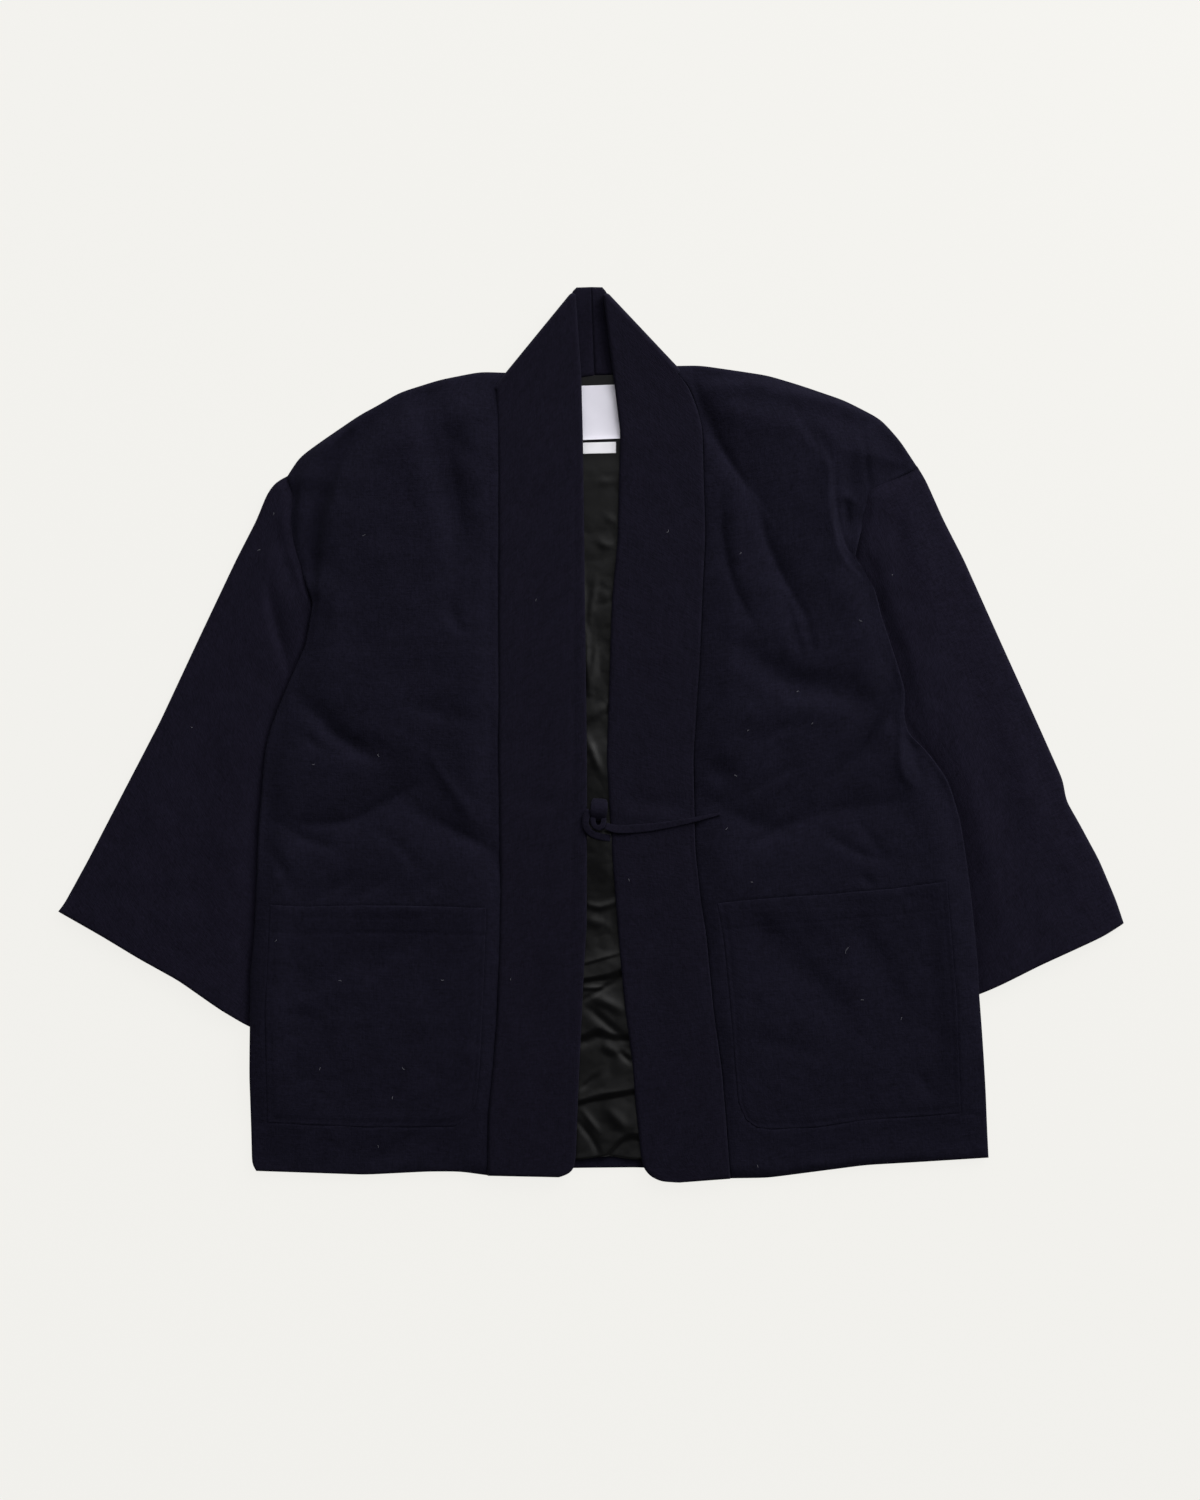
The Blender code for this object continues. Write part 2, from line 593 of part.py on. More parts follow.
for old in list(bpy.data.objects):
    bpy.data.objects.remove(old, do_unlink=True)
jacket = bpy.data.collections.new("kimono_jacket")
bpy.context.scene.collection.children.link(jacket)

build_back()
for wearer_side in ("right", "left"):
    front_panel = build_front(wearer_side)
    build_pocket(wearer_side, front_panel)
    build_sleeve(wearer_side)
    build_band(wearer_side)
build_lining()
for label in LABELS:
    build_label(label)
build_tie_loop()
build_tie_end()
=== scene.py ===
"""Finish of the kimono jacket: wool shells with their folds, satin lining, labels, ties, sewing.

Sizes and places are in millimetres, in the frame of the solids; add_mesh turns them into metres.
Left and right are the wearer's, so the wearer's right side is at -X.
"""
import math

import bpy
import numpy as np
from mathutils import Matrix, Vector


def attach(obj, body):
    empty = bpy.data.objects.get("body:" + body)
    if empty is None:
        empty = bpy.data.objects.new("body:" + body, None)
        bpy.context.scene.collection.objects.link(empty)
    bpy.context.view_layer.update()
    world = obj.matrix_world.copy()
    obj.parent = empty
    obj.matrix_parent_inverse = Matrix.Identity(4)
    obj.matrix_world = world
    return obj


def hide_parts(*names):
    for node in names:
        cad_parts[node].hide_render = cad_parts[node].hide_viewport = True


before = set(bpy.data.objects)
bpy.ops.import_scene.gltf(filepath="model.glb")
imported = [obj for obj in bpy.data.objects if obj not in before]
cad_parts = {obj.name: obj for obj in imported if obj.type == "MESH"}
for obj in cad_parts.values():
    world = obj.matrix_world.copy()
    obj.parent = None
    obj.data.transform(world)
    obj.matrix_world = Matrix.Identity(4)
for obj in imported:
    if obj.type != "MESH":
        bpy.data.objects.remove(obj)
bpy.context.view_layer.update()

MM = 0.001
SIDES = ("right", "left")

# The photograph's frame
PHOTO_SIZE = (1200, 1500)
PIXEL = 0.94               # what one pixel shows
MIDDLE_PIXEL = (591, 734)  # where the frame's origin is
LENS = 70.0
SENSOR = 36.0
CLOTH_LEVEL = 7.0          # height above the table at which a pixel shows that much
NEARER = 0.9972            # share of the camera's distance at which the outlines agree best
CAMERA_SHIFT = 0.5         # and how far it then stands towards the collar

# Walls and layers, counted up from the table
GAP = 0.3
WALL = 3.0
BAND_WALL = 4.5
POCKET_WALL = 1.5
LINING_WALL = 0.5
LABEL_WALL = 0.35
TIE_THICK = 1.4
FRONT_REST = WALL + GAP
LINING_REST = WALL + GAP
LABEL_REST = LINING_REST + LINING_WALL + 0.25
TURN_RADIUS = 2.65
BAND_TOP_MIDDLE = BAND_WALL / 2 + 2 * TURN_RADIUS
BAND_TOP = BAND_TOP_MIDDLE + BAND_WALL / 2
KNOT_Z = BAND_TOP + GAP
COLLAR_RISE = 5.0      # the collar stands up this much more at the neck
BACK_SEAM_RISE = 1.3   # the tape stands up a little along its seam at the centre back

# Edges and grids
EDGE_ROUND = 3.2       # width over which a cut edge rounds off
EDGE_LEAST = 0.02      # share of its wall that an edge keeps
ROLL = 7.5             # the same as EDGE_ROUND where the shoulder rolls over to the back
CELL = 2.6             # size of a shell's faces
BACK_CELL = 4.0
SLEEVE_CELL = 3.2
POCKET_CELL = 1.5
LABEL_CELL = 0.9
PATH_STEP = 1.5

# Fronts
FRONT_OVER_SLEEVE = 9.0   # underside of a front where it laps over the sleeve
LAP_FULL = 16.0           # the front is at that height this near its edge
LAP_END = 46.0            # and back on the back panel this far in
LAP_FOOT = -385.0         # the lap dies out towards the hem, from here
LAP_FALL = 95.0           # and over this length
PUFF_HIGH = 9.0           # how far the front bulges above the pockets
PUFF_LOW = 2.8            # at the pockets
PUFF_HEM = 0.8            # and at the hem
SEAM_LIFT = 1.6           # the front rises to the thick band that it is sewn to
TROUGH = 2.4              # the most that a fold sinks below the flat cloth
SWELL_RUN = 45.0          # distance from the edge over which a panel swells
POCKET_BED = 1.7          # the front swells this much up to the patch sewn on it
FRONT_SEEDS = {"right": 3, "left": 17}

BACK_HEM_LINE = -402.6    # groove where the back's hem is stitched, below the lining

# Sleeves
SLEEVE_HOLLOW = 1.2    # the gap between a sleeve's two walls
SLEEVE_PUFF = 3.0      # how far its upper wall bulges
SLEEVE_ROUND = 6.0     # the fold along a sleeve's side
ARMHOLE_DIP = 3.2      # a sleeve is pressed down this much where it goes under the front
ARMHOLE_RUN = 13.0     # over this length
LAP_VALLEY = 1.7       # groove beside the front's edge that lies on it

# Pockets, labels, ties and sewing
POCKET_HEM = 25.5      # the mouth is turned in this deep and stitched down
POCKET_STITCH = 4.6    # the other edges are stitched this far in
POCKET_ROUND = 1.6
POCKET_GAPE = [(-195, -162), (-166, -162)]   # where the right pocket's mouth stands open a little
LABEL_ROUND = 0.8
LABEL_CURL = 1.5       # the main label's free low edge stands up
TIE_WIDTH = 8.0
STITCH = 3.1
STITCH_PITCH = 4.4
THREAD_RADIUS = 0.22
LINT_RADIUS = 0.16

# Edge paths of each side's pieces, as in the solids
PATHS = {
    "right": {
        "seam": [(-96.8, -413.6), (-95.9, -355), (-90.2, -296), (-87.4, -257), (-85.5, -197),
                 (-84.6, -144), (-86.5, -24), (-86.5, 251), (-88.4, 321.5)],
        "neck": [(-85.5, 322), (-81.5, 329), (-75, 339.5)],
        "free": [(-30, -415), (-21, -412), (-16, -407), (-14.1, -394), (-12.2, -342),
                 (-9.4, -281), (-6.6, -220), (-4.1, -180), (-3.8, -118), (-3.8, -24),
                 (-5.6, 126), (-7.5, 276), (-8.9, 333), (-14.4, 411.6)],
        "hem": [(-97.1, -413.6), (-123, -410), (-152, -410), (-212, -413), (-314, -409.5)],
        "outer": [(-314, -409.5), (-318, -404), (-320, -321), (-319.5, -278), (-319, -227),
                  (-315, -184), (-313, -137), (-311, -86), (-307, -39), (-305, -15), (-300, 5),
                  (-293, 24), (-282, 50), (-267, 84), (-260, 123), (-265, 136), (-277, 170),
                  (-280, 181), (-283, 203), (-279, 225), (-286, 241)],
        "lap": [(-320, -400), (-319.5, -290), (-319, -227), (-315, -184), (-311, -86), (-307, -39),
                (-300, 5), (-282, 50), (-267, 84), (-261, 116)],
        "shoulder": [(-75, 339.5), (-104, 340.5), (-142, 333), (-180, 321), (-200, 309),
                     (-217, 300), (-255, 274), (-274, 260), (-286, 241)],
        "armhole": [(-284, 243), (-277, 225), (-281, 203), (-278, 181), (-275, 170),
                    (-263, 136), (-258, 123), (-253, 104)],
        "sleeve_outer": [(-284, 243), (-296, 237), (-304, 226), (-314, 201), (-333, 164),
                         (-369, 88), (-404, 13), (-443, -62), (-472, -118), (-495, -160),
                         (-500, -166)],
        "cuff": [(-500, -166), (-462, -187), (-424, -210), (-386, -231), (-349, -257),
                 (-321, -274), (-308, -280)],
        "sleeve_inner": [(-254, 104), (-253, 79), (-268, 41), (-279, 17), (-289, -6),
                         (-291, -34), (-297, -86), (-300, -156), (-305, -227), (-308, -280)],
        "pocket_top": [(-98, -162), (-183, -160), (-227, -160), (-269, -161), (-300, -159)],
        "pocket_outer": [(-303.5, -364), (-305, -259), (-300, -159)],
        "pocket_inner": [(-115, -358), (-108, -345), (-104.5, -316), (-102, -267), (-100, -217),
                         (-98, -162)],
        "pocket_bottom": [(-115, -358), (-127, -367.5), (-152, -368), (-212, -368),
                          (-303.5, -364)],
        "band_back": [(0.9, 420), (3.6, 337.0)],
        "band_back_top": [(-16.6, 416.8), (-13.6, 419.8)],
    },
    "left": {
        "seam": [(130.7, -416.4), (126.9, -366), (122.8, -316), (114.7, -257), (108.1, -188),
                 (102.5, -151), (97.8, -108), (95.9, -23), (102.1, 66), (104.3, 128),
                 (107.2, 189), (104.3, 288), (98.7, 308), (91.2, 326), (81.1, 337.8)],
        "neck": [(78, 339.5), (77, 346)],
        "free": [(83, -420), (66, -419), (56, -414.5), (49.5, -407), (47, -396),
                 (41.4, -342), (39.5, -312), (32.5, -261), (27.3, -208), (20.3, -118),
                 (14.7, -24), (19.7, 126), (25.0, 182), (27.4, 284), (21.0, 335), (11.6, 411.2)],
        "hem": [(131, -416.5), (166, -416), (212, -410), (258, -404), (310, -401), (373, -397)],
        "outer": [(373, -397), (370, -336), (366, -276), (363.5, -243), (362, -212),
                  (357, -162), (352, -121), (346, -82), (338, -54), (333, -41), (321, -24),
                  (311, -12), (297, 1), (293, 18), (294, 41), (289, 59), (279, 90), (272, 110),
                  (266, 136), (257, 149), (246, 162), (254, 194), (259, 212), (261, 227),
                  (307, 250)],
        "lap": [(372, -400), (365, -262), (362, -212), (357, -162), (352, -121), (346, -82),
                (333, -41), (311, -12), (295, 12), (293, 41), (279, 90), (266, 136), (250, 158)],
        "shoulder": [(77, 346), (102, 346.5), (140, 341), (166, 337), (196, 328), (237, 314),
                     (253, 306), (272, 296), (290, 276), (307, 250)],
        "armhole": [(306, 252), (259.5, 228.5), (257, 212), (252, 194), (244, 162), (238, 150)],
        "sleeve_outer": [(306, 252), (314, 239), (331, 201), (350, 164), (384, 88), (418, 13),
                         (443, -43), (446, -62), (457, -81), (477, -118), (493, -156),
                         (500, -177)],
        "cuff": [(500, -177), (482, -188.5), (460, -198.5), (422, -216), (384, -235), (350, -250)],
        "sleeve_inner": [(238, 150), (246, 135), (256, 121), (258, 102), (265, 84), (274, 53),
                         (280, 39), (279, 18), (283, -6), (298, -22), (308, -34), (320, -50),
                         (332, -84), (337, -124), (343, -164), (348, -213), (350, -250)],
        "pocket_top": [(118, -158), (152, -154), (212, -150), (283, -144), (333, -137)],
        "pocket_outer": [(346.5, -355), (342, -247), (333, -137)],
        "pocket_inner": [(145, -361), (138, -345), (133, -287), (130, -247), (125, -197),
                         (118, -158)],
        "pocket_bottom": [(145, -361), (156, -369), (172, -370), (212, -368), (251, -362),
                          (346.5, -355)],
        "band_back": [(0.1, 420), (2.8, 337.0)],
        "band_back_top": [(13.4, 416.8), (10.6, 420)],
    },
}

# The back panel's four edges: hem, wearer's right side, wearer's left side, shoulders and neck
BACK_HEM = [(-311, -404), (-212, -410), (-123, -407), (-98, -409), (-10, -407), (46, -406.5),
            (104, -411), (178, -411), (258, -401), (310, -398), (369, -394)]
BACK_RIGHT = [(-311, -404), (-314, -390), (-316, -321), (-316, -290), (-302, -276), (-299, -227),
              (-294, -156), (-291, -86), (-285, -34), (-282, -8), (-272, 14), (-261, 38),
              (-248, 79), (-250.5, 104), (-256, 122), (-261.5, 136), (-273, 170), (-276, 181),
              (-279, 203), (-275, 225), (-280, 240)]
BACK_LEFT = [(369, -394), (366, -336), (362, -276), (359, -260), (345, -251), (341, -213),
             (336, -164), (330, -124), (325, -84), (314, -54), (304, -36), (294, -22), (279, -8),
             (275, 18), (275, 38), (270, 53), (261, 84), (254, 102), (252, 120), (244, 134),
             (237, 150), (243, 164), (250, 194), (255, 212), (258, 230), (296, 248)]
BACK_TOP = [(-280, 240), (-270, 253), (-250, 266), (-213, 292), (-196, 301), (-176, 312.5),
            (-140, 324), (-104, 330), (-88, 320), (3.3, 336), (84, 336), (102, 337), (139, 332.5),
            (164, 328.5), (193, 319.5), (233, 305.5), (249, 297.5), (267, 287.5), (284, 269),
            (296, 248)]

# Folds of each piece: path, height, half width and kind. soft is a rounded crest or trough; its
# half width may be one number or two, on the path's left and on its right. crease is the same
# with a sharp bottom. step raises the cloth on the path's left, and lets it settle over five half
# widths.
FOLDS = {
    "front_right": [
        (((-206, 300), (-224, 272), (-243, 246), (-254, 222), (-261, 196), (-263, 172)), -8.0,
         (17, 9), "soft"),
        (((-205, 303), (-240, 278), (-263, 254), (-272, 226), (-273, 195), (-269, 160)), 3.0, 8,
         "soft"),
        (((-226, 274), (-237, 246), (-247, 211), (-253, 179), (-256, 134), (-260, 108)), 6.0, 3.2,
         "step"),
        (((-155, 311), (-148, 273), (-131, 217), (-121, 172), (-126, 119)), -5.0, (20, 13), "soft"),
        (((-176, 300), (-160, 240), (-146, 180)), 1.4, 12, "soft"),
        (((-136, 131), (-129, 104), (-121, 94), (-112, 98)), -1.8, 6, "soft"),
        (((-135, 285), (-109, 260)), -1.6, 9, "soft"),
        (((-230, 190), (-215, 130), (-222, 70)), -1.4, 18, "soft"),
        (((-270, 29), (-251, 14), (-243, 1), (-225, -11), (-200, -22)), -4.8, (13, 9), "soft"),
        (((-271, -1), (-243, -21)), -1.4, (7, 3.5), "soft"),
        (((-170, 27), (-108, 10)), -1.8, (12, 7), "soft"),
        (((-92, 0), (-96, -46), (-112, -72)), -1.8, 9, "soft"),
        (((-284, -80), (-268, -82), (-251, -84), (-225, -82), (-214, -76), (-198, -66), (-183, -58),
          (-164, -48), (-150, -32), (-146, -18)), -9.4, (24, 28), "crease"),
        (((-170, -70), (-140, -84), (-115, -97), (-88, -111)), -6.8, (20, 22), "crease"),
        (((-150, -22), (-130, -52), (-107, -82)), 1.8, 5, "soft"),
        (((-293, -83), (-272, -97), (-238, -108)), -4.2, (8, 7), "crease"),
        (((-200, -92), (-178, -104), (-160, -128)), -1.2, 5, "soft"),
        (((-259, -157), (-219, -132)), -2.2, (9, 5), "soft"),
        (((-225, -157), (-185, -132)), -2.2, (9, 5), "soft"),
        (((-166, -153), (-142, -128)), -1.6, 6, "soft"),
        (((-297, -110), (-282, -140)), -1.6, 5, "soft"),
        (((-172, -198), (-194, -211), (-210, -233)), -2.2, (7, 12), "soft"),
        (((-230, -213), (-257, -234), (-275, -248)), -2.0, (8, 11), "soft"),
        (((-282, -262), (-258, -265)), -1.2, 7, "soft"),
        (((-150, -368), (-185, -388), (-210, -402)), -1.6, (14, 5), "soft"),
        (((-320, -364), (-302, -366)), -0.8, 2.4, "soft"),
        (((-268, -83), (-251, -84), (-225, -82), (-198, -66), (-160, -46)), -2.2, (3, 7), "crease"),
        (((-140, -84), (-115, -97), (-88, -111)), -2.0, (4, 6), "crease"),
        (((-262, 22), (-243, 1), (-205, -20)), -1.8, (4, 4), "crease"),
        (((-140, 300), (-124, 215), (-116, 172)), -1.4, (5, 4), "crease"),
        (((-94.4, 250), (-94.4, 0), (-92.6, -160), (-95.4, -250), (-101, -360)), -0.7, 2.0, "soft"),
    ],
    "front_left": [
        (((96, 334), (107, 298), (127, 261), (151, 226)), -8.0, (24, 12), "crease"),
        (((124, 218), (124, 181), (133, 140), (155, 97)), -3.0, (7, 12), "crease"),
        (((152, 228), (161, 205), (164, 181), (183, 140), (206, 105)), -6.4, (18, 14), "crease"),
        (((181, 128), (191, 96), (199, 68)), -1.8, (4, 7), "soft"),
        (((197, 118), (207, 92), (206, 70)), -1.6, (4, 7), "soft"),
        (((105, 324), (150, 328), (187, 319), (229, 310), (255, 300)), 3.4, (7, 10), "soft"),
        (((195, 296), (210, 275), (219, 261)), -2.0, (9, 4), "soft"),
        (((247, 154), (234, 168), (231, 182), (226, 206), (224, 226), (225, 250), (218, 266)), 4.6,
         1.7, "step"),
        (((262, 256), (296, 262)), -3.6, 24, "soft"),
        (((243, 288), (243, 250), (242, 215), (244, 182)), -2.4, 9, "soft"),
        (((254, 297), (257, 270), (260, 244), (261, 226)), -2.4, (2.4, 4), "crease"),
        (((239, 216), (241, 192)), -3.2, 3.5, "soft"),
        (((232, 220), (240, 228), (249, 214)), 1.8, 4, "soft"),
        (((145, 74), (167, 61), (193, 45), (232, 42), (256, 28)), -5.6, (16, 13), "soft"),
        (((284, 50), (275, 26), (265, 6), (252, -16), (232, -39), (218, -59)), -6.6, (8, 13),
         "crease"),
        (((291, 22), (289, -20), (291, -39), (301, -50)), 2.2, 4, "soft"),
        (((302, 14), (301, -22), (311, -44)), -1.8, 5, "soft"),
        (((98, -54), (125, -68), (150, -85), (175, -88), (195, -78), (225, -71), (255, -68),
          (285, -66), (307, -60)), -8.6, (22, 24), "crease"),
        (((112, -26), (130, -44)), -3.6, 13, "soft"),
        (((193, -81), (151, -101)), -2.2, (7, 4), "soft"),
        (((216, -91), (252, -113), (275, -117)), -3.0, (6, 6), "crease"),
        (((246, -77), (275, -116)), -1.2, 5, "soft"),
        (((252, -131), (264, -142)), -1.6, 4, "soft"),
        (((154, -8), (204, 14)), -1.4, (7, 4), "soft"),
        (((147, -57), (193, -27)), -1.8, (8, 4), "soft"),
        (((120, 10), (170, 22), (215, 20)), 1.4, 12, "soft"),
        (((142, -163), (174, -199), (216, -238), (240, -265)), -2.6, (14, 20), "soft"),
        (((246, -165), (274, -225), (291, -258)), -2.2, (12, 18), "soft"),
        (((284, -216), (306, -196)), -1.2, 6, "soft"),
        (((150, -285), (180, -292), (215, -300)), -1.2, 8, "soft"),
        (((305, -316), (322, -342)), -1.2, 6, "soft"),
        (((345, -356), (371, -357)), -0.9, 2.4, "soft"),
        (((150, -418), (230, -412), (300, -407), (372, -401)), 2.0, (26, 20), "soft"),
        (((100, 322), (107, 298), (127, 261), (148, 230)), -3.0, (3, 4), "crease"),
        (((122, 214), (124, 181), (133, 140), (150, 105)), -2.0, (3, 4), "crease"),
        (((158, 205), (164, 181), (183, 140), (200, 112)), -2.0, (4, 4), "crease"),
        (((280, 40), (265, 6), (252, -16), (232, -39)), -5.5, (3.4, 5), "crease"),
        (((252, 160), (240, 172), (236, 186), (231, 206), (229, 226), (229, 245)), -3.4, (2, 5),
         "crease"),
    ],
    "sleeve_right": [
        (((-303, 143), (-302, 127), (-295, 98), (-285, 64), (-280, 47)), -3.4, (9, 4), "soft"),
        (((-293, 190), (-284, 155), (-276, 128)), -3.2, 9, "soft"),
        (((-345, 60), (-375, -60), (-400, -150)), -1.8, 20, "soft"),
        (((-390, 0), (-430, -110)), 1.6, 18, "soft"),
        (((-318, 10), (-335, -80), (-350, -170)), 1.4, 14, "soft"),
        (((-310, -60), (-322, -150)), -1.6, 10, "soft"),
        (((-420, -185), (-400, -130)), -1.4, 10, "soft"),
        (((-465, -165), (-440, -110)), 1.2, 10, "soft"),
        (((-330, 150), (-345, 90)), -1.2, 14, "soft"),
    ],
    "sleeve_left": [
        (((262, 158), (270, 118), (286, 74), (297, 38), (302, 12)), -3.8, (9, 16), "soft"),
        (((330, 130), (375, 0), (400, -110)), -1.8, 20, "soft"),
        (((385, 40), (430, -90)), 1.6, 18, "soft"),
        (((345, -30), (372, -110), (390, -190)), 1.4, 14, "soft"),
        (((350, -90), (362, -180)), -1.6, 10, "soft"),
        (((455, -175), (435, -120)), -1.4, 10, "soft"),
        (((300, 225), (322, 140)), 1.6, 12, "soft"),
        (((285, 200), (295, 150)), -1.2, 9, "soft"),
    ],
    "band_right": [
        (((-70, -62), (-20, -66)), -0.7, 7, "soft"),
        (((-70, 250), (-30, 270)), 0.6, 20, "soft"),
        (((-60, -190), (-40, -330)), -0.6, 16, "soft"),
        (((-14, 300), (-17, -100), (-22, -380)), -0.5, 1.8, "soft"),
    ],
    "band_left": [
        (((30, -60), (92, -68)), -1.1, 8, "soft"),
        (((30, -74), (95, -84)), 0.9, 6, "soft"),
        (((40, 60), (85, 90)), 0.6, 18, "soft"),
        (((60, -150), (70, -330)), -0.6, 16, "soft"),
        (((98.5, 150), (92, 0), (94, -110), (104.5, -190), (118.8, -316), (126.5, -412)), -0.8, 1.9,
         "soft"),
    ],
    "back": [
        (((-240, 230), (-205, 120), (-190, 10)), 0.9, 9, "soft"),
        (((230, 220), (190, 120), (150, 40)), 0.9, 10, "soft"),
        (((-150, 260), (-120, 150), (-130, 60)), 0.6, 8, "soft"),
        (((-250, -60), (-170, -90), (-70, -50)), 0.8, 8, "soft"),
        (((70, -90), (160, -60), (270, -80)), 0.9, 9, "soft"),
        (((-40, 200), (-20, 60), (-35, -120)), 0.5, 10, "soft"),
        (((40, 150), (60, -20), (30, -200)), 0.5, 9, "soft"),
        (((-230, -160), (-160, -260)), 0.6, 8, "soft"),
        (((180, -170), (260, -290)), 0.7, 9, "soft"),
        (((-60, -260), (20, -330)), 0.5, 8, "soft"),
    ],
    "lining": [
        (((7, 237), (23, 238)), 0.9, 4, "soft"),
        (((14, 205), (24, 198)), 0.9, 4, "soft"),
        (((7, 182), (14, 173), (24, 180)), 0.9, 3.6, "soft"),
        (((-9, 158), (-8, 98)), 0.9, 3.2, "soft"),
        (((5, 148), (-2, 104)), 0.7, 3.4, "soft"),
        (((-5, 100), (-3, 40)), 0.9, 3.5, "soft"),
        (((6, 83), (-2, 39)), 1.1, 4, "soft"),
        (((14, 28), (-2, 14)), 1.2, 5, "soft"),
        (((-4, -2), (8, -34)), 1.1, 4, "soft"),
        (((-18, -26), (34, -26)), 2.4, (26, 46), "soft"),
        (((-15, -98), (12, -99), (32, -98)), 3.0, (8, 34), "soft"),
        (((-4, -159), (3, -165), (22, -157)), 1.1, 3.2, "soft"),
        (((-3, -175), (12, -177)), 1.0, 5, "soft"),
        (((-12, -217), (30, -205)), 1.2, 0.7, "step"),
        (((-8, -238), (13, -237)), 0.9, 1.6, "soft"),
        (((-8, -250), (26, -230)), -1.1, 2.6, "soft"),
        (((2, -246), (30, -258)), 1.2, 5, "soft"),
        (((-1, -258), (34, -288)), -1.3, 4, "soft"),
        (((-7, -291), (10, -279)), -1.1, 3.5, "soft"),
        (((10, -292), (30, -300)), 1.2, 5, "soft"),
        (((26, -297), (40, -310)), -1.0, 2.6, "soft"),
        (((-8, -332), (8, -318)), -1.0, 2.6, "soft"),
        (((-18, -346), (44, -336)), 1.3, 0.7, "step"),
        (((-14, -361), (1, -379), (8, -394)), -0.8, 2.6, "soft"),
        (((-8, -353), (8, -374)), 0.9, 3, "soft"),
        (((16, -352), (34, -370)), 0.9, 5, "soft"),
        (((22, -392), (38, -372)), -0.8, 3, "soft"),
    ],
}

# Stitched lines beside the band's seam: on the wearer's right front and on the left band
SEAM_STITCHES = {"right": FOLDS["front_right"][-1][0], "left": FOLDS["band_left"][-1][0]}

# Lining that shows between the bands: y, and the x of its two edges
LINING_SECTIONS = [
    (-397, -26, 60), (-345, -24, 54), (-262, -20, 46), (-180, -16, 38), (-100, -15, 32),
    (-20, -15, 28), (60, -15, 30), (130, -16, 32), (200, -17, 37), (280, -18, 38), (318, -18, 36),
    (330, -12, 34), (339, -9, 32),
]
PLEAT_PITCH = 58
PLEAT_HEIGHT = 2.8
PLEAT_RISE = 0.13      # share of a pleat over which it rises

# Low and high edge of each label
LABELS = {
    "label_main": ([(-14, 275.8), (34, 277.8)], [(-13, 327), (33, 328.6)]),
    "label_origin": ([(-13, 263.2), (23.4, 264)], [(-13, 273.6), (23.4, 274.6)]),
}

# Loose fibres on the nap: place in the photograph, and length
LINT = [
    (668, 532, 4.0), (740, 554, 2.5), (859, 621, 3.5), (891, 575, 2.0), (797, 691, 2.5),
    (811, 723, 2.5), (747, 730, 2.0), (735, 775, 3.0), (726, 828, 3.0), (629, 879, 2.5),
    (751, 881, 2.0), (845, 949, 7.0), (861, 998, 3.5), (900, 1017, 3.0), (757, 1164, 3.0),
    (379, 755, 3.0), (365, 536, 3.0), (260, 550, 3.0), (275, 514, 2.5), (193, 727, 2.0),
    (341, 979, 3.0), (443, 979, 3.0), (321, 1067, 3.0), (404, 1067, 3.5), (393, 1096, 3.0),
    (511, 978, 2.0), (379, 1145, 2.5), (278, 939, 2.5), (315, 764, 2.5), (536, 600, 3.0),
]


def linear(red, green, blue):
    """Linear colour from the photograph's 8-bit one."""
    values = [c / 255 for c in (red, green, blue)]
    return [c / 12.92 if c <= 0.04045 else ((c + 0.055) / 1.055) ** 2.4 for c in values]


# Paths and panels


def run_of(path):
    """Length of a path up to each of its points."""
    steps = np.linalg.norm(np.diff(np.asarray(path, float), axis=0), axis=-1)
    return np.concatenate([[0.0], np.cumsum(steps)])


def length_of(path):
    return run_of(path)[-1]


def along(path, shares):
    """Points at the given shares of a path's length."""
    run = run_of(path)
    return np.stack([np.interp(shares, run / run[-1], c) for c in np.asarray(path, float).T], -1)


def blurred(points, reach, spread):
    """Points averaged with their neighbours, and mirrored past both ends, so the ends stay."""
    weights = np.exp(-0.5 * (np.arange(-reach, reach + 1) / spread) ** 2)
    weights /= weights.sum()
    padded = np.concatenate([2 * points[0] - points[reach:0:-1], points,
                             2 * points[-1] - points[-2:-reach - 2:-1]])
    return np.stack([np.convolve(c, weights, "valid") for c in padded.T], -1)


def softened(path, softness=6.0):
    """The path with its corners eased, its two ends kept."""
    count = max(8, int(length_of(path) / PATH_STEP))
    reach = min(int(3 * softness / PATH_STEP), count - 1)
    return blurred(along(path, np.linspace(0, 1, count)), reach, softness / PATH_STEP)


def grid_shares(length, start_round=EDGE_ROUND, end_round=EDGE_ROUND, cell=CELL):
    """Shares of a panel's length for its points: close together where its edges round off."""
    edge = np.array([0.0, 0.04, 0.14, 0.32, 0.6, 1.0])
    first, last = start_round, length - end_round
    count = max(2, int((last - first) / cell))
    middle = np.linspace(first, last, count + 1)[1:-1]
    return np.concatenate([edge * start_round, middle, (length - edge * end_round)[::-1]]) / length


def panel(bottom, top, start, end, across, up):
    """Plan points of a four-sided panel, indexed [up][across], and their distances from its
    start, end, bottom and top edges."""
    low, high = along(bottom, across), along(top, across)
    first, last = along(start, up), along(end, up)
    u, v = across[None, :, None], up[:, None, None]
    ruled = (1 - v) * low[None] + v * high[None] + (1 - u) * first[:, None] + u * last[:, None]
    corners = ((1 - u) * (1 - v) * low[0] + u * (1 - v) * low[-1]
               + (1 - u) * v * high[0] + u * v * high[-1])
    plan = ruled - corners
    return plan, edge_distances(plan, across, up)


def edge_distances(plan, across, up):
    width = np.linalg.norm(plan[:, -1] - plan[:, 0], axis=-1)[:, None]
    height = np.linalg.norm(plan[-1] - plan[0], axis=-1)[None, :]
    return (across[None, :] * width, (1 - across)[None, :] * width,
            up[:, None] * height, (1 - up)[:, None] * height)


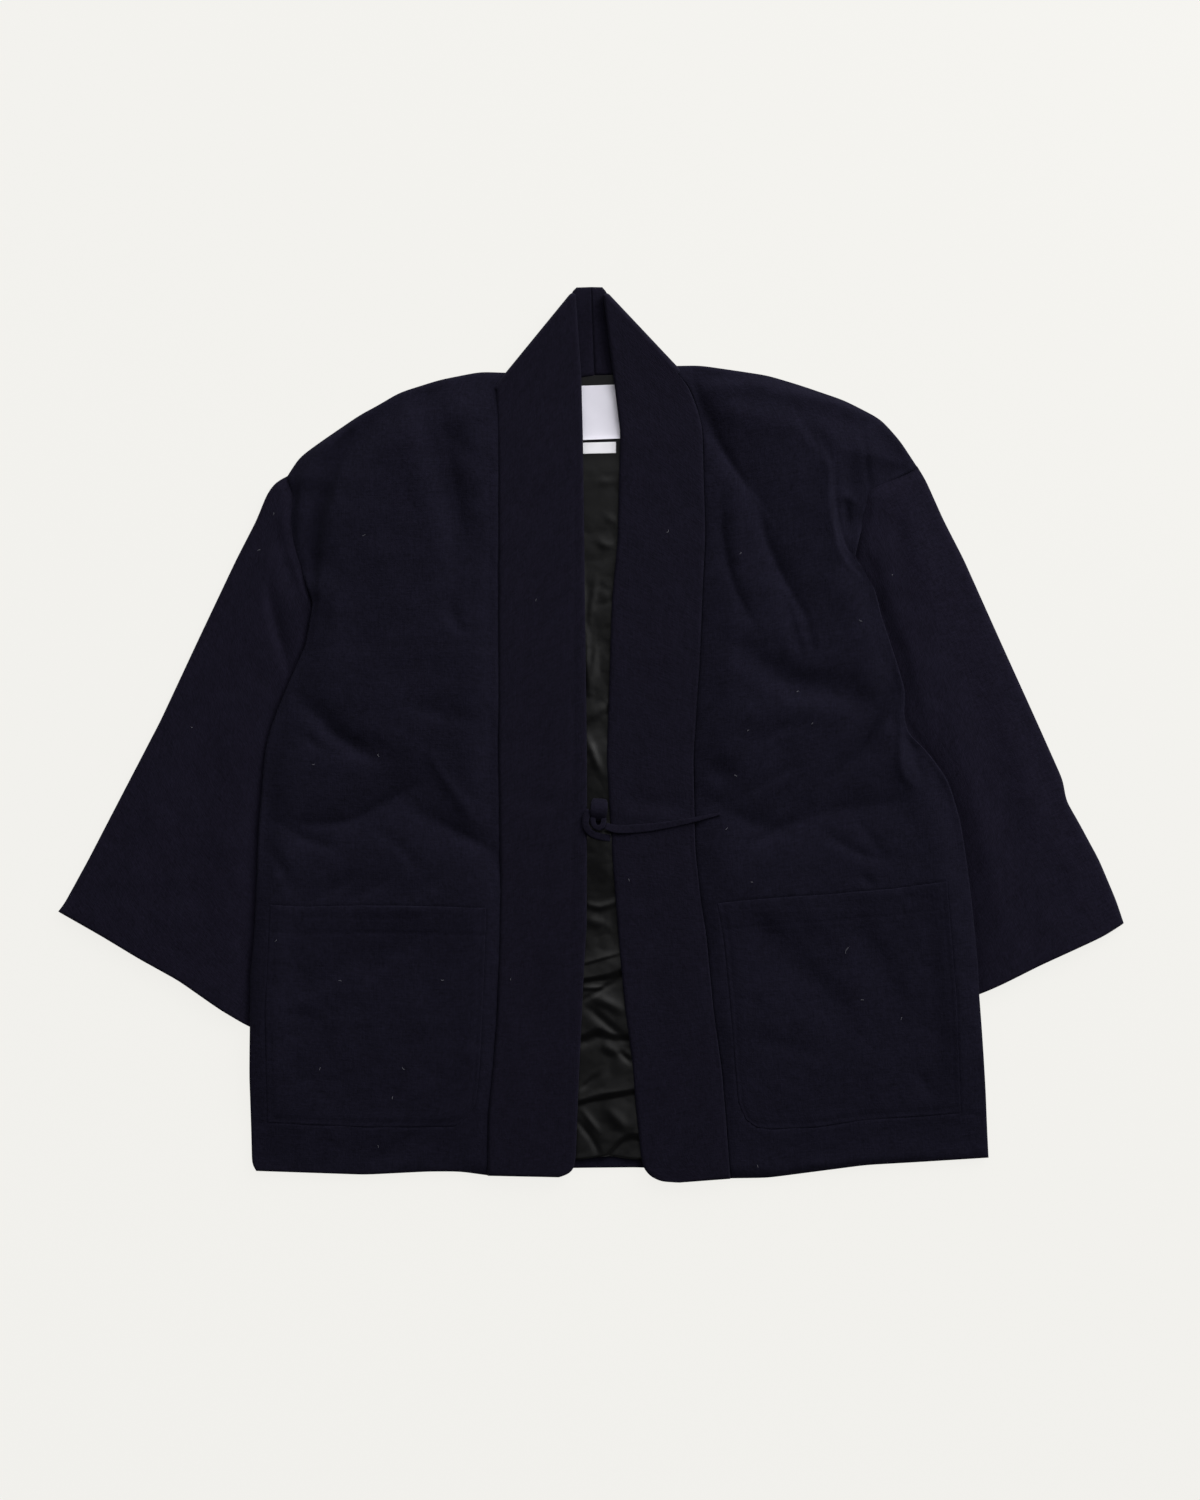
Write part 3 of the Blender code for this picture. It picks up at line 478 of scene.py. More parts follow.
def distance(points, path):
    """Distance from a path, signed so that its left is positive, and the share at the foot."""
    path = np.asarray(path, float)
    ends = run_of(path) / length_of(path)
    best = np.full(points.shape[:-1], np.inf)
    share, sign = np.zeros(best.shape), np.ones(best.shape)
    for i, (a, b) in enumerate(zip(path, path[1:])):
        run = b - a
        if not run.any():
            continue
        offset = points - a
        t = np.clip(offset @ run / (run @ run), 0, 1)
        away = np.linalg.norm(offset - t[..., None] * run, axis=-1)
        nearer = away < best
        turned = run[0] * offset[..., 1] - run[1] * offset[..., 0]
        best = np.where(nearer, away, best)
        share = np.where(nearer, ends[i] + t * (ends[i + 1] - ends[i]), share)
        sign = np.where(nearer, np.where(turned < 0, -1.0, 1.0), sign)
    return best * sign, share


def from_path(points, path):
    return np.abs(distance(points, path)[0])


def smooth(x):
    x = np.clip(x, 0, 1)
    return x * x * (3 - 2 * x)


FOLD_SHAPES = {
    "soft": lambda t: np.exp(-t ** 2),
    "crease": lambda t: np.exp(-np.sqrt(t ** 2 + 0.02)),
    "step": lambda t: (0.5 + 0.5 * np.tanh(t)) * np.exp(-np.maximum(t, 0) / 5),
}
FOLD_REACH = {"soft": 3.2, "crease": 3.2, "step": 16.0}   # in half widths


def fold_height(points, name):
    """Sum of a piece's folds at each point."""
    total = np.zeros(points.shape[:-1])
    for path, height, half_width, kind in FOLDS[name]:
        eased = softened(path, 7.0)[::3]
        left, right = half_width if isinstance(half_width, tuple) else (half_width,) * 2
        reach = FOLD_REACH[kind] * max(left, right)
        near = ((points > eased.min(0) - reach) & (points < eased.max(0) + reach)).all(-1)
        if near.any():
            away, share = distance(points[near], eased)
            fade = np.sin(np.pi * (0.06 + 0.88 * share)) ** 0.6
            shape = FOLD_SHAPES[kind](away / np.where(away > 0, left, right))
            total[near] += height * fade * shape
    return total


def unevenness(points, size, seed):
    """Smooth random hills of the given size, between about -1 and 1."""
    table = np.random.default_rng(seed).uniform(-1, 1, (64, 64))
    place = points / size + 32.0
    cell = np.floor(place).astype(int)
    part = place - cell
    part = part * part * (3 - 2 * part)
    i, j = cell[..., 0] % 64, cell[..., 1] % 64
    k, l = (i + 1) % 64, (j + 1) % 64
    u, v = part[..., 0], part[..., 1]
    return ((1 - u) * (1 - v) * table[i, j] + u * (1 - v) * table[k, j]
            + (1 - u) * v * table[i, l] + u * v * table[k, l])


def hand(points, seed):
    """The cloth's own unevenness: broad and small hills, and fine creases between them."""
    hills = (0.75 * unevenness(points, 52.0, seed) + 0.35 * unevenness(points, 21.0, seed + 1)
             + 0.10 * unevenness(points, 8.0, seed + 2))
    creases = (0.55 * np.abs(unevenness(points, 34.0, seed + 3))
               + 0.28 * np.abs(unevenness(points, 15.0, seed + 4)))
    return hills + creases - 0.25


def seed_of(name):
    return sum(ord(letter) for letter in name)


# Meshes


def finish_object(name, mesh, material):
    mesh.materials.append(material)
    piece = bpy.data.objects.new(name, mesh)
    bpy.context.scene.collection.objects.link(piece)
    return piece


def add_mesh(name, points, faces, uv, material):
    """A smooth closed object from points in millimetres, its faces turned outwards."""
    points = np.asarray(points, float) * MM
    faces = np.asarray(faces)
    a, b, c, d = points[faces].transpose(1, 0, 2)
    if (a * (np.cross(b, c) + np.cross(c, d))).sum() < 0:
        faces = faces[:, ::-1]
    mesh = bpy.data.meshes.new(name)
    mesh.from_pydata(points.tolist(), [], faces.tolist())
    layer = mesh.uv_layers.new(name="cloth")
    layer.data.foreach_set("uv", (np.asarray(uv, float) * MM)[faces.ravel()].ravel())
    mesh.shade_smooth()
    return finish_object(name, mesh, material)


def strip_faces(count, rings, start=0):
    """Quads that join closed rings of `count` points, one after another."""
    base = start + np.arange(rings - 1)[:, None] * count
    low, nxt = base + np.arange(count), base + (np.arange(count) + 1) % count
    return np.stack([low, nxt, nxt + count, low + count], -1).reshape(-1, 4)


def loft(name, rings, uv, material):
    """A closed body through rings whose upper points are followed by the lower ones."""
    stations, count, _ = rings.shape
    half = np.arange(count // 2 - 1)
    cap = np.stack([half, half + 1, count - 2 - half, count - 1 - half], -1)
    faces = np.concatenate([strip_faces(count, stations), cap[:, ::-1],
                            cap + (stations - 1) * count])
    return add_mesh(name, rings.reshape(-1, 3), faces, uv.reshape(-1, 2), material)


def tube(name, outer, inner, uv, material):
    """A wall between two stacks of rings, open at both ends."""
    stations, count, _ = outer.shape
    inside = stations * count
    i = np.arange(count)
    j = (i + 1) % count
    near = np.stack([j, i, inside + i, inside + j], -1)
    far = np.stack([i, j, inside + j, inside + i], -1) + (stations - 1) * count
    faces = np.concatenate([strip_faces(count, stations),
                            strip_faces(count, stations, inside)[:, ::-1], near, far])
    points = np.concatenate([outer.reshape(-1, 3), inner.reshape(-1, 3)])
    return add_mesh(name, points, faces, np.concatenate([uv.reshape(-1, 2)] * 2), material)


def wrapped(over, under):
    """Each row's points over a panel, followed by those under it on the way back."""
    return np.concatenate([over, under[:, ::-1]], 1)


def at_height(plan, height):
    return np.concatenate([plan, height[..., None]], -1)


def laid_out(across, up):
    """Places on the flat cloth, for both of its faces."""
    flat = np.stack(np.broadcast_arrays(across, up), -1)
    return wrapped(flat, flat)


def rounding(gap, radius):
    """How full the wall is at a distance from its edge: 0 at the edge, 1 past the radius."""
    return np.sqrt(np.clip(1 - (1 - np.clip(gap / radius, 0, 1)) ** 2, 0, 1))


def slab(name, plan, gaps, top, bottom, material, rounds=(EDGE_ROUND,) * 4, seat=0.45):
    """A panel's shell: its two faces meet in a rounded edge all round."""
    full = np.maximum(math.prod(rounding(gap, r) for gap, r in zip(gaps, rounds)), EDGE_LEAST)
    middle = bottom + seat * (top - bottom)
    rings = wrapped(at_height(plan, middle + (top - middle) * full),
                    at_height(plan, middle - (middle - bottom) * full))
    return loft(name, rings, laid_out(gaps[0], gaps[2]), material)


def declare(piece, node, finish, rests_on, size, area=None):
    """Ride on the one body and stand for the solid; the cut's size and area are not used."""
    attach(piece, "root")
    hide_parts(node)


def cut_of(plan):
    """The rectangle that a panel is cut from, in metres, and the panel's area."""
    spread = plan.reshape(-1, 2).max(0) - plan.reshape(-1, 2).min(0)
    diagonal_a = plan[1:, 1:] - plan[:-1, :-1]
    diagonal_b = plan[1:, :-1] - plan[:-1, 1:]
    cross = diagonal_a[..., 0] * diagonal_b[..., 1] - diagonal_a[..., 1] * diagonal_b[..., 0]
    return tuple(float(s) * MM for s in spread), abs(cross.sum()) / 2 * MM * MM


# Materials


def new_material(name, roughness, gloss):
    material = bpy.data.materials.new(name)
    material.use_nodes = True
    shader = material.node_tree.nodes["Principled BSDF"]
    shader.inputs["Roughness"].default_value = roughness
    shader.inputs["Specular IOR Level"].default_value = gloss
    return material, shader


def add_node(owner, kind, feeds=None, output=0, **values):
    """A node with its values set and its inputs fed by outputs or numbers; gives one output."""
    node = owner.node_tree.nodes.new(kind)
    for key, value in values.items():
        if hasattr(node, key):
            setattr(node, key, value)
        else:
            node.inputs[key.replace("_", " ").title()].default_value = value
    for socket, source in (feeds or {}).items():
        if isinstance(source, float):
            node.inputs[socket].default_value = source
        else:
            owner.node_tree.links.new(source, node.inputs[socket])
    return node.outputs[output]


def cloth_place(material):
    return add_node(material, "ShaderNodeUVMap", uv_map="cloth")


def between(material, source, dark, light, low=0.0, high=1.0):
    """Colour between two tones, as the source goes from low to high."""
    node = material.node_tree.nodes.new("ShaderNodeValToRGB")
    for element, place, colour in zip(node.color_ramp.elements, (low, high), (dark, light)):
        element.position = place
        element.color = (*colour, 1)
    material.node_tree.links.new(source, node.inputs["Fac"])
    return node.outputs["Color"]


def dress(material, shader, **feeds):
    for socket, source in feeds.items():
        material.node_tree.links.new(source, shader.inputs[socket.replace("_", " ")])
    return material


def wool_material(name, dark, light, turn=0.0):
    """Felted navy wool: threads both ways under a short matt nap, uneven in tone."""
    material, shader = new_material(name, 0.95, 0.05)
    shader.inputs["Sheen Weight"].default_value = 0.04
    shader.inputs["Sheen Roughness"].default_value = 0.45
    shader.inputs["Sheen Tint"].default_value = (0.5, 0.52, 0.8, 1)
    place = cloth_place(material)

    def noise(scale, detail, stretch=(1, 1, 1)):
        turned = add_node(material, "ShaderNodeMapping", {"Vector": place},
                          Rotation=(0, 0, turn), Scale=stretch)
        return add_node(material, "ShaderNodeTexNoise", {"Vector": turned}, Scale=scale,
                        Detail=detail, Roughness=0.65)

    def blend(first, second, share):
        return add_node(material, "ShaderNodeMath", {0: first, 1: share, 2: second},
                        operation="MULTIPLY_ADD")

    warp = noise(700.0, 2.0, (1, 0.10, 1))
    weft = noise(700.0, 2.0, (0.10, 1, 1))
    felt = noise(330.0, 3.0)
    threads_both = blend(warp, weft, 1.0)
    tone = blend(threads_both, felt, 0.55)
    tone = blend(noise(38.0, 3.0), tone, 0.45)
    tone = blend(noise(120.0, 4.0), tone, 0.55)
    tone = add_node(material, "ShaderNodeMath", {0: tone, 1: 0.494}, operation="MULTIPLY")
    nap = add_node(material, "ShaderNodeBump", {"Height": blend(threads_both, felt, 0.5)},
                   Strength=0.6, Distance=0.0006)
    return dress(material, shader, Normal=nap,
                 Base_Color=between(material, tone, dark, light, 0.56, 0.96))


def ribbed(material, scale, distortion, strength):
    """Threads across the cloth, and the bump that they make."""
    rib = add_node(material, "ShaderNodeTexWave", {"Vector": cloth_place(material)}, "Fac",
                   bands_direction="Y", Scale=scale, Distortion=distortion)
    return rib, add_node(material, "ShaderNodeBump", {"Height": rib}, Strength=strength,
                         Distance=0.0002)


def satin_material():
    """Black satin with a soft gloss and fine crosswise threads."""
    material, shader = new_material("satin", 0.5, 0.20)
    cloud = add_node(material, "ShaderNodeTexNoise", {"Vector": cloth_place(material)},
                     Scale=60.0, Detail=3.0)
    rough = add_node(material, "ShaderNodeMapRange", {"Value": cloud}, To_Min=0.26, To_Max=0.38)
    _, bump = ribbed(material, 900.0, 0.6, 0.12)
    tone = between(material, cloud, (0.0012, 0.0012, 0.0014), (0.0028, 0.0028, 0.0032))
    return dress(material, shader, Base_Color=tone, Roughness=rough, Normal=bump)


def label_material(name, colour):
    """Woven label: fine ribs across, slightly uneven."""
    material, shader = new_material(name, 0.6, 0.3)
    rib, bump = ribbed(material, 700.0, 0.3, 0.3)
    tone = between(material, rib, [c * 0.9 for c in colour], colour)
    return dress(material, shader, Base_Color=tone, Normal=bump)


def plain_material(name, colour, roughness):
    """Thread or fibre: one twisted tone, slightly uneven along its length."""
    material, shader = new_material(name, roughness, 0.06)
    place = add_node(material, "ShaderNodeTexCoord", output="Object")
    cloud = add_node(material, "ShaderNodeTexNoise", {"Vector": place}, Scale=900.0, Detail=2.0)
    tone = between(material, cloud, [c * 0.7 for c in colour], colour)
    return dress(material, shader, Base_Color=tone)


WOOL = wool_material("wool", (0.0027, 0.0024, 0.0053), (0.0073, 0.0066, 0.0140))
WOOL_BAND = wool_material("wool_band", (0.0028, 0.0024, 0.0052), (0.0071, 0.0062, 0.0132), 0.02)
WOOL_SLEEVE = wool_material("wool_sleeve", (0.0031, 0.0026, 0.0058), (0.0081, 0.0070, 0.0150), 0.4)
SATIN = satin_material()
LABEL_CLOTH = {"label_main": label_material("label_cloth", linear(207, 205, 215)),
               "label_origin": label_material("label_cloth_white", linear(222, 221, 225))}


# Body and sleeves


def lap_lift(points, side):
    away = from_path(points, PATHS[side]["lap"])
    run = (LAP_END - away) / (LAP_END - LAP_FULL)
    fall = smooth((points[..., 1] - LAP_FOOT) / LAP_FALL)
    return (FRONT_OVER_SLEEVE - FRONT_REST) * smooth(run) * fall


def front_swell(points, side):
    """The cloth stands off the table in the middle, most above the pockets, with its folds."""
    paths = PATHS[side]
    from_edge = from_path(points, paths["hem"] + paths["outer"] + paths["shoulder"][::-1])
    from_seam = from_path(points, paths["seam"])
    y = points[..., 1]
    full = PUFF_HEM + (PUFF_LOW - PUFF_HEM) * smooth((y + 395) / 140)
    full = full + (PUFF_HIGH - PUFF_LOW) * smooth((y + 210) / 110)
    puff = full * smooth(from_edge / SWELL_RUN) * smooth((from_seam + 12) / 46)
    puff = puff + SEAM_LIFT * np.exp(-((from_seam / 24) ** 2)) * smooth(from_edge / 12)
    folds = fold_height(points, "front_" + side) + hand(points, FRONT_SEEDS[side])
    return puff + folds * smooth(from_edge / 7)


def front_top(points, side):
    swell = front_swell(points, side)
    trough = TROUGH * np.tanh(np.minimum(swell, 0) / TROUGH)
    return FRONT_REST + WALL + lap_lift(points, side) + np.where(swell < 0, trough, swell)


def inside_of(points, outline):
    """Distance from a closed outline, positive inside."""
    away = from_path(points, outline)
    inside = np.zeros(points.shape[:-1], bool)
    for (x0, y0), (x1, y1) in zip(outline, outline[1:]):
        if y0 != y1:
            crosses = (points[..., 1] > min(y0, y1)) & (points[..., 1] <= max(y0, y1))
            x_there = x0 + (points[..., 1] - y0) * (x1 - x0) / (y1 - y0)
            inside ^= crosses & (points[..., 0] < x_there)
    return np.where(inside, away, -away)


def around_pocket(points, side):
    """The front swells up to the patch sewn on it, so the patch's edge is a groove, not a step."""
    paths = PATHS[side]
    outline = (paths["pocket_bottom"][::-1] + paths["pocket_inner"][1:] + paths["pocket_top"][1:]
               + paths["pocket_outer"][::-1][1:])
    depth = inside_of(points, outline)
    return POCKET_BED * np.exp(-np.maximum(-depth, 0) / 22) * (1 - smooth((depth + 0.4) / 3.0))


def build_front(side):
    paths = PATHS[side]
    name = "front_" + side
    edges = [softened(paths["hem"]), softened(paths["shoulder"]),
             softened(paths["seam"][:-1] + paths["neck"], 4.0), softened(paths["outer"], 4.0)]
    plan, gaps = panel(*edges, grid_shares(length_of(edges[0])),
                       grid_shares(length_of(edges[3]), EDGE_ROUND, ROLL))
    top = front_top(plan, side) + around_pocket(plan, side) * smooth(np.min(gaps, 0) / 10)
    bottom = np.maximum(top - WALL, FRONT_REST - 0.1) * smooth((gaps[3] - 1.5) / 5.0)
    piece = slab(name + "_cloth", plan, gaps, top, bottom, WOOL, (EDGE_ROUND,) * 3 + (ROLL,))
    declare(piece, name, "wool", ["back_cloth"], *cut_of(plan))


def build_back():
    """The back panel lies flat under the rest; where it creases, its underside leaves the table."""
    edges = [softened(BACK_HEM), softened(BACK_TOP, 3.0), softened(BACK_RIGHT, 4.0),
             softened(BACK_LEFT, 4.0)]
    plan, gaps = panel(*edges, grid_shares(length_of(edges[0]), cell=BACK_CELL),
                       grid_shares(length_of(edges[2]), cell=BACK_CELL))
    own = np.minimum(0.12 * hand(plan, 29), 0.15)
    hem_line = 0.5 * np.exp(-(((plan[..., 1] - BACK_HEM_LINE) / 0.9) ** 2))
    under_lining = smooth(np.minimum(plan[..., 0] + 45, 80 - plan[..., 0]) / 5)
    top = WALL - 0.15 + own - hem_line * under_lining
    bottom = np.maximum(0.0, fold_height(plan, "back"))
    piece = slab("back_cloth", plan, gaps, top, bottom, WOOL, seat=0.5)
    declare(piece, "back", "wool", [], *cut_of(plan))


def build_sleeve(side):
    paths = PATHS[side]
    name = "sleeve_" + side
    edges = [softened(paths["armhole"], 4.0), softened(paths["cuff"]),
             softened(paths["sleeve_outer"], 5.0), softened(paths["sleeve_inner"])]
    width = 0.5 * (length_of(edges[0]) + length_of(edges[1]))
    length = length_of(edges[2])
    plan, gaps = panel(*edges, grid_shares(width, SLEEVE_ROUND, SLEEVE_ROUND, SLEEVE_CELL),
                       grid_shares(length, cell=SLEEVE_CELL))
    from_sides, from_ends = np.minimum(gaps[0], gaps[1]), np.minimum(gaps[2], gaps[3])
    folds = fold_height(plan, name) + 0.8 * hand(plan, seed_of(name))
    swell = (SLEEVE_PUFF + folds) * smooth(from_sides / SWELL_RUN)
    roof = WALL + SLEEVE_HOLLOW
    middle = roof - SLEEVE_HOLLOW / 2
    side_full = rounding(from_sides, SLEEVE_ROUND)
    end_open = 1 - rounding(from_ends, EDGE_ROUND)
    at_armhole = 1 - smooth(gaps[2] / ARMHOLE_RUN)
    valley = np.exp(-from_path(plan, softened(paths["lap"], 4.0)) / 4.0)
    sunk = (end_open * 1.2 + ARMHOLE_DIP * at_armhole
            + LAP_VALLEY * valley * smooth((gaps[2] - 6) / 14))
    high = middle + (roof + WALL + swell - middle - sunk) * side_full
    low = middle * (1 - side_full) + 0.9 * end_open * side_full
    shrink = 1 - 2 * WALL / np.maximum(np.linalg.norm(plan[:, -1] - plan[:, 0], axis=-1), 1)
    centre = (plan[:, 0] + plan[:, -1])[:, None] / 2
    inside = centre + (plan - centre) * shrink[:, None, None]
    hollow = rounding(from_sides, 3.0)
    ceiling = middle + 0.05 + hollow * (SLEEVE_HOLLOW / 2 + np.clip(swell * 0.9, 0, 1.8)
                                        - 0.5 * at_armhole)
    floor = middle - SLEEVE_HOLLOW / 2 * hollow - 0.05
    piece = tube(name + "_cloth", wrapped(at_height(plan, high), at_height(plan, low)),
                 wrapped(at_height(inside, ceiling), at_height(inside, floor)),
                 laid_out(gaps[0], gaps[2]), WOOL_SLEEVE)
    size = (float(2 * width * MM), float(length * MM))
    declare(piece, name, "wool", [], size, min(2 * cut_of(plan)[1], size[0] * size[1]))


# Collar band


def build_band(side):
    """The collar tape: up the front, over the slanting fold and in to the centre back."""
    paths = PATHS[side]
    name = "band_" + side
    seam_path, free_path = softened(paths["seam"], 5.0), softened(paths["free"], 3.0)
    up = grid_shares(length_of(free_path), EDGE_ROUND, 0.5)
    seam, free = along(seam_path, up), along(free_path, up)
    width = np.linalg.norm(free[len(up) // 2] - seam[len(up) // 2])
    across = grid_shares(width)
    from_sides = np.minimum(across, 1 - across) * width
    plan = seam[:, None] + (free - seam)[:, None] * across[None, :, None]
    lift = fold_height(plan, name) + 0.35 * hand(plan, seed_of(name))
    lift = lift * smooth((1 - up)[:, None] * 12) * smooth(from_sides / 3.5)
    rise = COLLAR_RISE * smooth((plan[..., 1] - 290) / 130)
    rows, normals = [*at_height(plan, BAND_TOP_MIDDLE + rise)], [(0.0, 0.0, 1.0)] * len(plan)
    fold = (free[-1] - seam[-1]) / np.linalg.norm(free[-1] - seam[-1])
    turn = 1 if side == "right" else -1
    outward = np.array((-fold[1] * turn, fold[0] * turn, 0.0))
    radius = (TURN_RADIUS + rise[-1] / 2)[:, None]
    last = np.concatenate([plan[-1], BAND_WALL / 2 + radius], -1)
    for angle in np.linspace(0, math.pi, 15)[1:]:
        normal = outward * math.sin(angle) + np.array((0.0, 0.0, math.cos(angle)))
        rows.append(last + normal * radius - outward * (radius - TURN_RADIUS) * math.sin(angle))
        normals.append(normal)
    (back_free, back_seam), (corner, top) = np.array([paths["band_back"], paths["band_back_top"]])
    inward = back_seam - seam[-1]
    stops = [(seam[-1], free[-1], 0), (seam[-1] + inward * 0.3, corner, 0),
             (seam[-1] + inward * 0.55, top, 0), (back_seam, back_free, BACK_SEAM_RISE)]
    for (s0, f0, _), (s1, f1, stands) in zip(stops, stops[1:]):
        for share in np.linspace(0, 1, 15)[1:]:
            s, f = s0 + (s1 - s0) * share, f0 + (f1 - f0) * share
            height = np.full(len(across), BAND_WALL / 2 + stands * share)
            rows.append(at_height(s + (f - s) * across[:, None], height))
            normals.append((0.0, 0.0, -1.0))
    middle, normal = np.array(rows), np.array(normals)[:, None]
    lift = np.concatenate([lift, np.zeros((len(rows) - len(plan), len(across)))])
    run = run_of(middle[:, len(across) // 2])
    full = rounding(from_sides, EDGE_ROUND)
    full = full * rounding(np.minimum(run, 1.5 * (run[-1] - run))[:, None], EDGE_ROUND)
    half = BAND_WALL / 2 * np.maximum(full, EDGE_LEAST)
    rings = wrapped(middle + normal * (half + lift)[..., None], middle - normal * half[..., None])
    piece = loft(name + "_cloth", rings, laid_out(across * width, run[:, None]), WOOL_BAND)
    declare(piece, name, "wool", ["lining_back_cloth", "back_cloth"],
            (float(width) * MM, float(run[-1]) * MM))


# Pockets, lining and labels


def pocket_panel(side):
    edges = [softened(PATHS[side]["pocket_" + key], 3.0) for key in
             ("bottom", "top", "inner", "outer")]
    across, up = (grid_shares(length_of(edge), POCKET_ROUND, POCKET_ROUND, POCKET_CELL)
                  for edge in (edges[1], edges[2]))
    return *panel(*edges, across, up), across, up


def build_pocket(side):
    """A patch with shallow channels where it is stitched, and a little loft between them."""
    name = "pocket_" + side
    plan, gaps, _, _ = pocket_panel(side)
    from_mouth, from_others = gaps[3], np.min(gaps[:3], 0)
    hem_line = 0.32 * np.exp(-(((from_mouth - POCKET_HEM) / 1.3) ** 2))
    edge_line = 0.26 * np.exp(-(((from_others - POCKET_STITCH) / 1.2) ** 2))
    loft_between = 0.35 * smooth(from_mouth / 5) * smooth((from_others - POCKET_STITCH) / 6)
    top = front_top(plan, side) + GAP + POCKET_WALL + loft_between - hem_line - edge_line
    if side == "right":
        gape = np.exp(-((from_path(plan, POCKET_GAPE) / 12.0) ** 2))
        top = top + 1.6 * gape * smooth(1 - from_mouth / 26)
    piece = slab(name + "_cloth", plan, gaps, top, top - POCKET_WALL, WOOL, (POCKET_ROUND,) * 4)
    declare(piece, name, "wool", ["front_" + side + "_cloth"], *cut_of(plan))


def build_lining():
    """Crumpled satin: its folds, facets of its own, and leaning pleats towards the hem."""
    rows, start, end = np.array(LINING_SECTIONS, float).T
    y = np.linspace(rows[0], rows[-1], 500)
    start, end = np.interp(y, rows, start), np.interp(y, rows, end)
    across = np.linspace(0, 1, 44)
    up = (y - y[0]) / (y[-1] - y[0])
    plan = np.stack([start[:, None] + (end - start)[:, None] * across,
                     np.repeat(y[:, None], len(across), axis=1)], -1)
    plan[..., 1] += (1.4 * np.sin(plan[..., 0] / 9.0)) * smooth((0.02 - up[:, None]) / 0.02)
    x, y = plan[..., 0], plan[..., 1]
    below, above = smooth((-190 - y) / 30), smooth((y - 100) / 120)
    turned = np.stack([x + 0.5 * y, y - 0.5 * x], -1)
    facets = (1.1 * np.abs(unevenness(turned, 25.0, 5)) + 0.5 * np.abs(unevenness(plan, 13.0, 6))
              + 0.15 * unevenness(plan, 5.0, 7))
    phase = (y - 0.35 * x) / PLEAT_PITCH + 0.30 * unevenness(plan, 36.0, 11)
    phase = phase - np.floor(phase)
    pleats = np.where(phase < PLEAT_RISE, smooth(phase / PLEAT_RISE),
                      1 - (phase - PLEAT_RISE) / (1 - PLEAT_RISE))
    relief = (fold_height(plan, "lining") * (1.3 - 0.7 * above)
              + facets * (0.7 - 0.15 * below - 0.45 * above) + PLEAT_HEIGHT * pleats * below + 0.4)
    relief = relief * smooth(np.minimum(across, 1 - across) * 6)
    bottom = LINING_REST + np.maximum(relief * (1 - smooth((y - 245) / 15)), 0)
    piece = slab("lining_back_cloth", plan, edge_distances(plan, across, up),
                 bottom + LINING_WALL, bottom, SATIN, (0.5,) * 4)
    declare(piece, "lining_back", "satin", ["back_cloth"], *cut_of(plan))


def build_label(name):
    """A blank woven label with rounded edges; the main label's low edge curls up."""
    low, high = LABELS[name]
    start, end = zip(low, high)
    across, up = (grid_shares(length_of(edge), LABEL_ROUND, LABEL_ROUND, LABEL_CELL)
                  for edge in (low, start))
    plan, gaps = panel(low, high, start, end, across, up)
    bottom = LABEL_REST + 0.25 * unevenness(plan, 14.0, 9) + 0.25
    if name == "label_main":
        bottom = bottom + LABEL_CURL * np.exp(-up[:, None] * 14)
    piece = slab(name + "_cloth", plan, gaps, bottom + LABEL_WALL, bottom, LABEL_CLOTH[name],
                 (LABEL_ROUND,) * 4)
    declare(piece, name, "label", ["lining_back_cloth"], *cut_of(plan))


# Ties


def strap(name, route, width, thickness, ends, widths, leans):
    """A flat rounded strap along a route of (x, y, z) points; leans says which way its face
    looks, and widths how wide it is, both from one end to the other."""
    count = max(24, int(length_of(route) / 0.9))
    share = np.linspace(0, 1, count)
    points = blurred(along(route, share), 9, 3.5)
    ahead = np.gradient(points, axis=0)
    ahead /= np.linalg.norm(ahead, axis=1)[:, None]
    lean = np.array([np.interp(share, np.linspace(0, 1, len(leans)), c) for c in zip(*leans)]).T
    across = np.cross(ahead, lean)
    across /= np.linalg.norm(across, axis=1)[:, None]
    normal = np.cross(across, ahead)
    run = share * length_of(points)
    full = np.maximum(rounding(np.minimum(run, run[-1] - run), ends), 0.05)[:, None, None]
    angles = np.linspace(0, 2 * math.pi, 28, endpoint=False)
    c, s = np.cos(angles), np.sin(angles)
    c, s = np.sign(c) * np.abs(c) ** 0.55, np.sign(s) * np.abs(s) ** 0.8
    width = width * np.interp(share, np.linspace(0, 1, len(widths)), widths)[:, None, None]
    rings = (points[:, None]
             + across[:, None] * c[None, :, None] * width / 2 * (0.75 + 0.25 * full)
             + normal[:, None] * s[None, :, None] * thickness / 2 * full)
    uv = np.stack(np.broadcast_arrays(c * 4.0, run[:, None]), -1)
    piece = loft(name, rings, uv, WOOL_BAND)
    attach(piece, "root")
    return piece, points


UPRIGHT = [(0, 0, 1)]


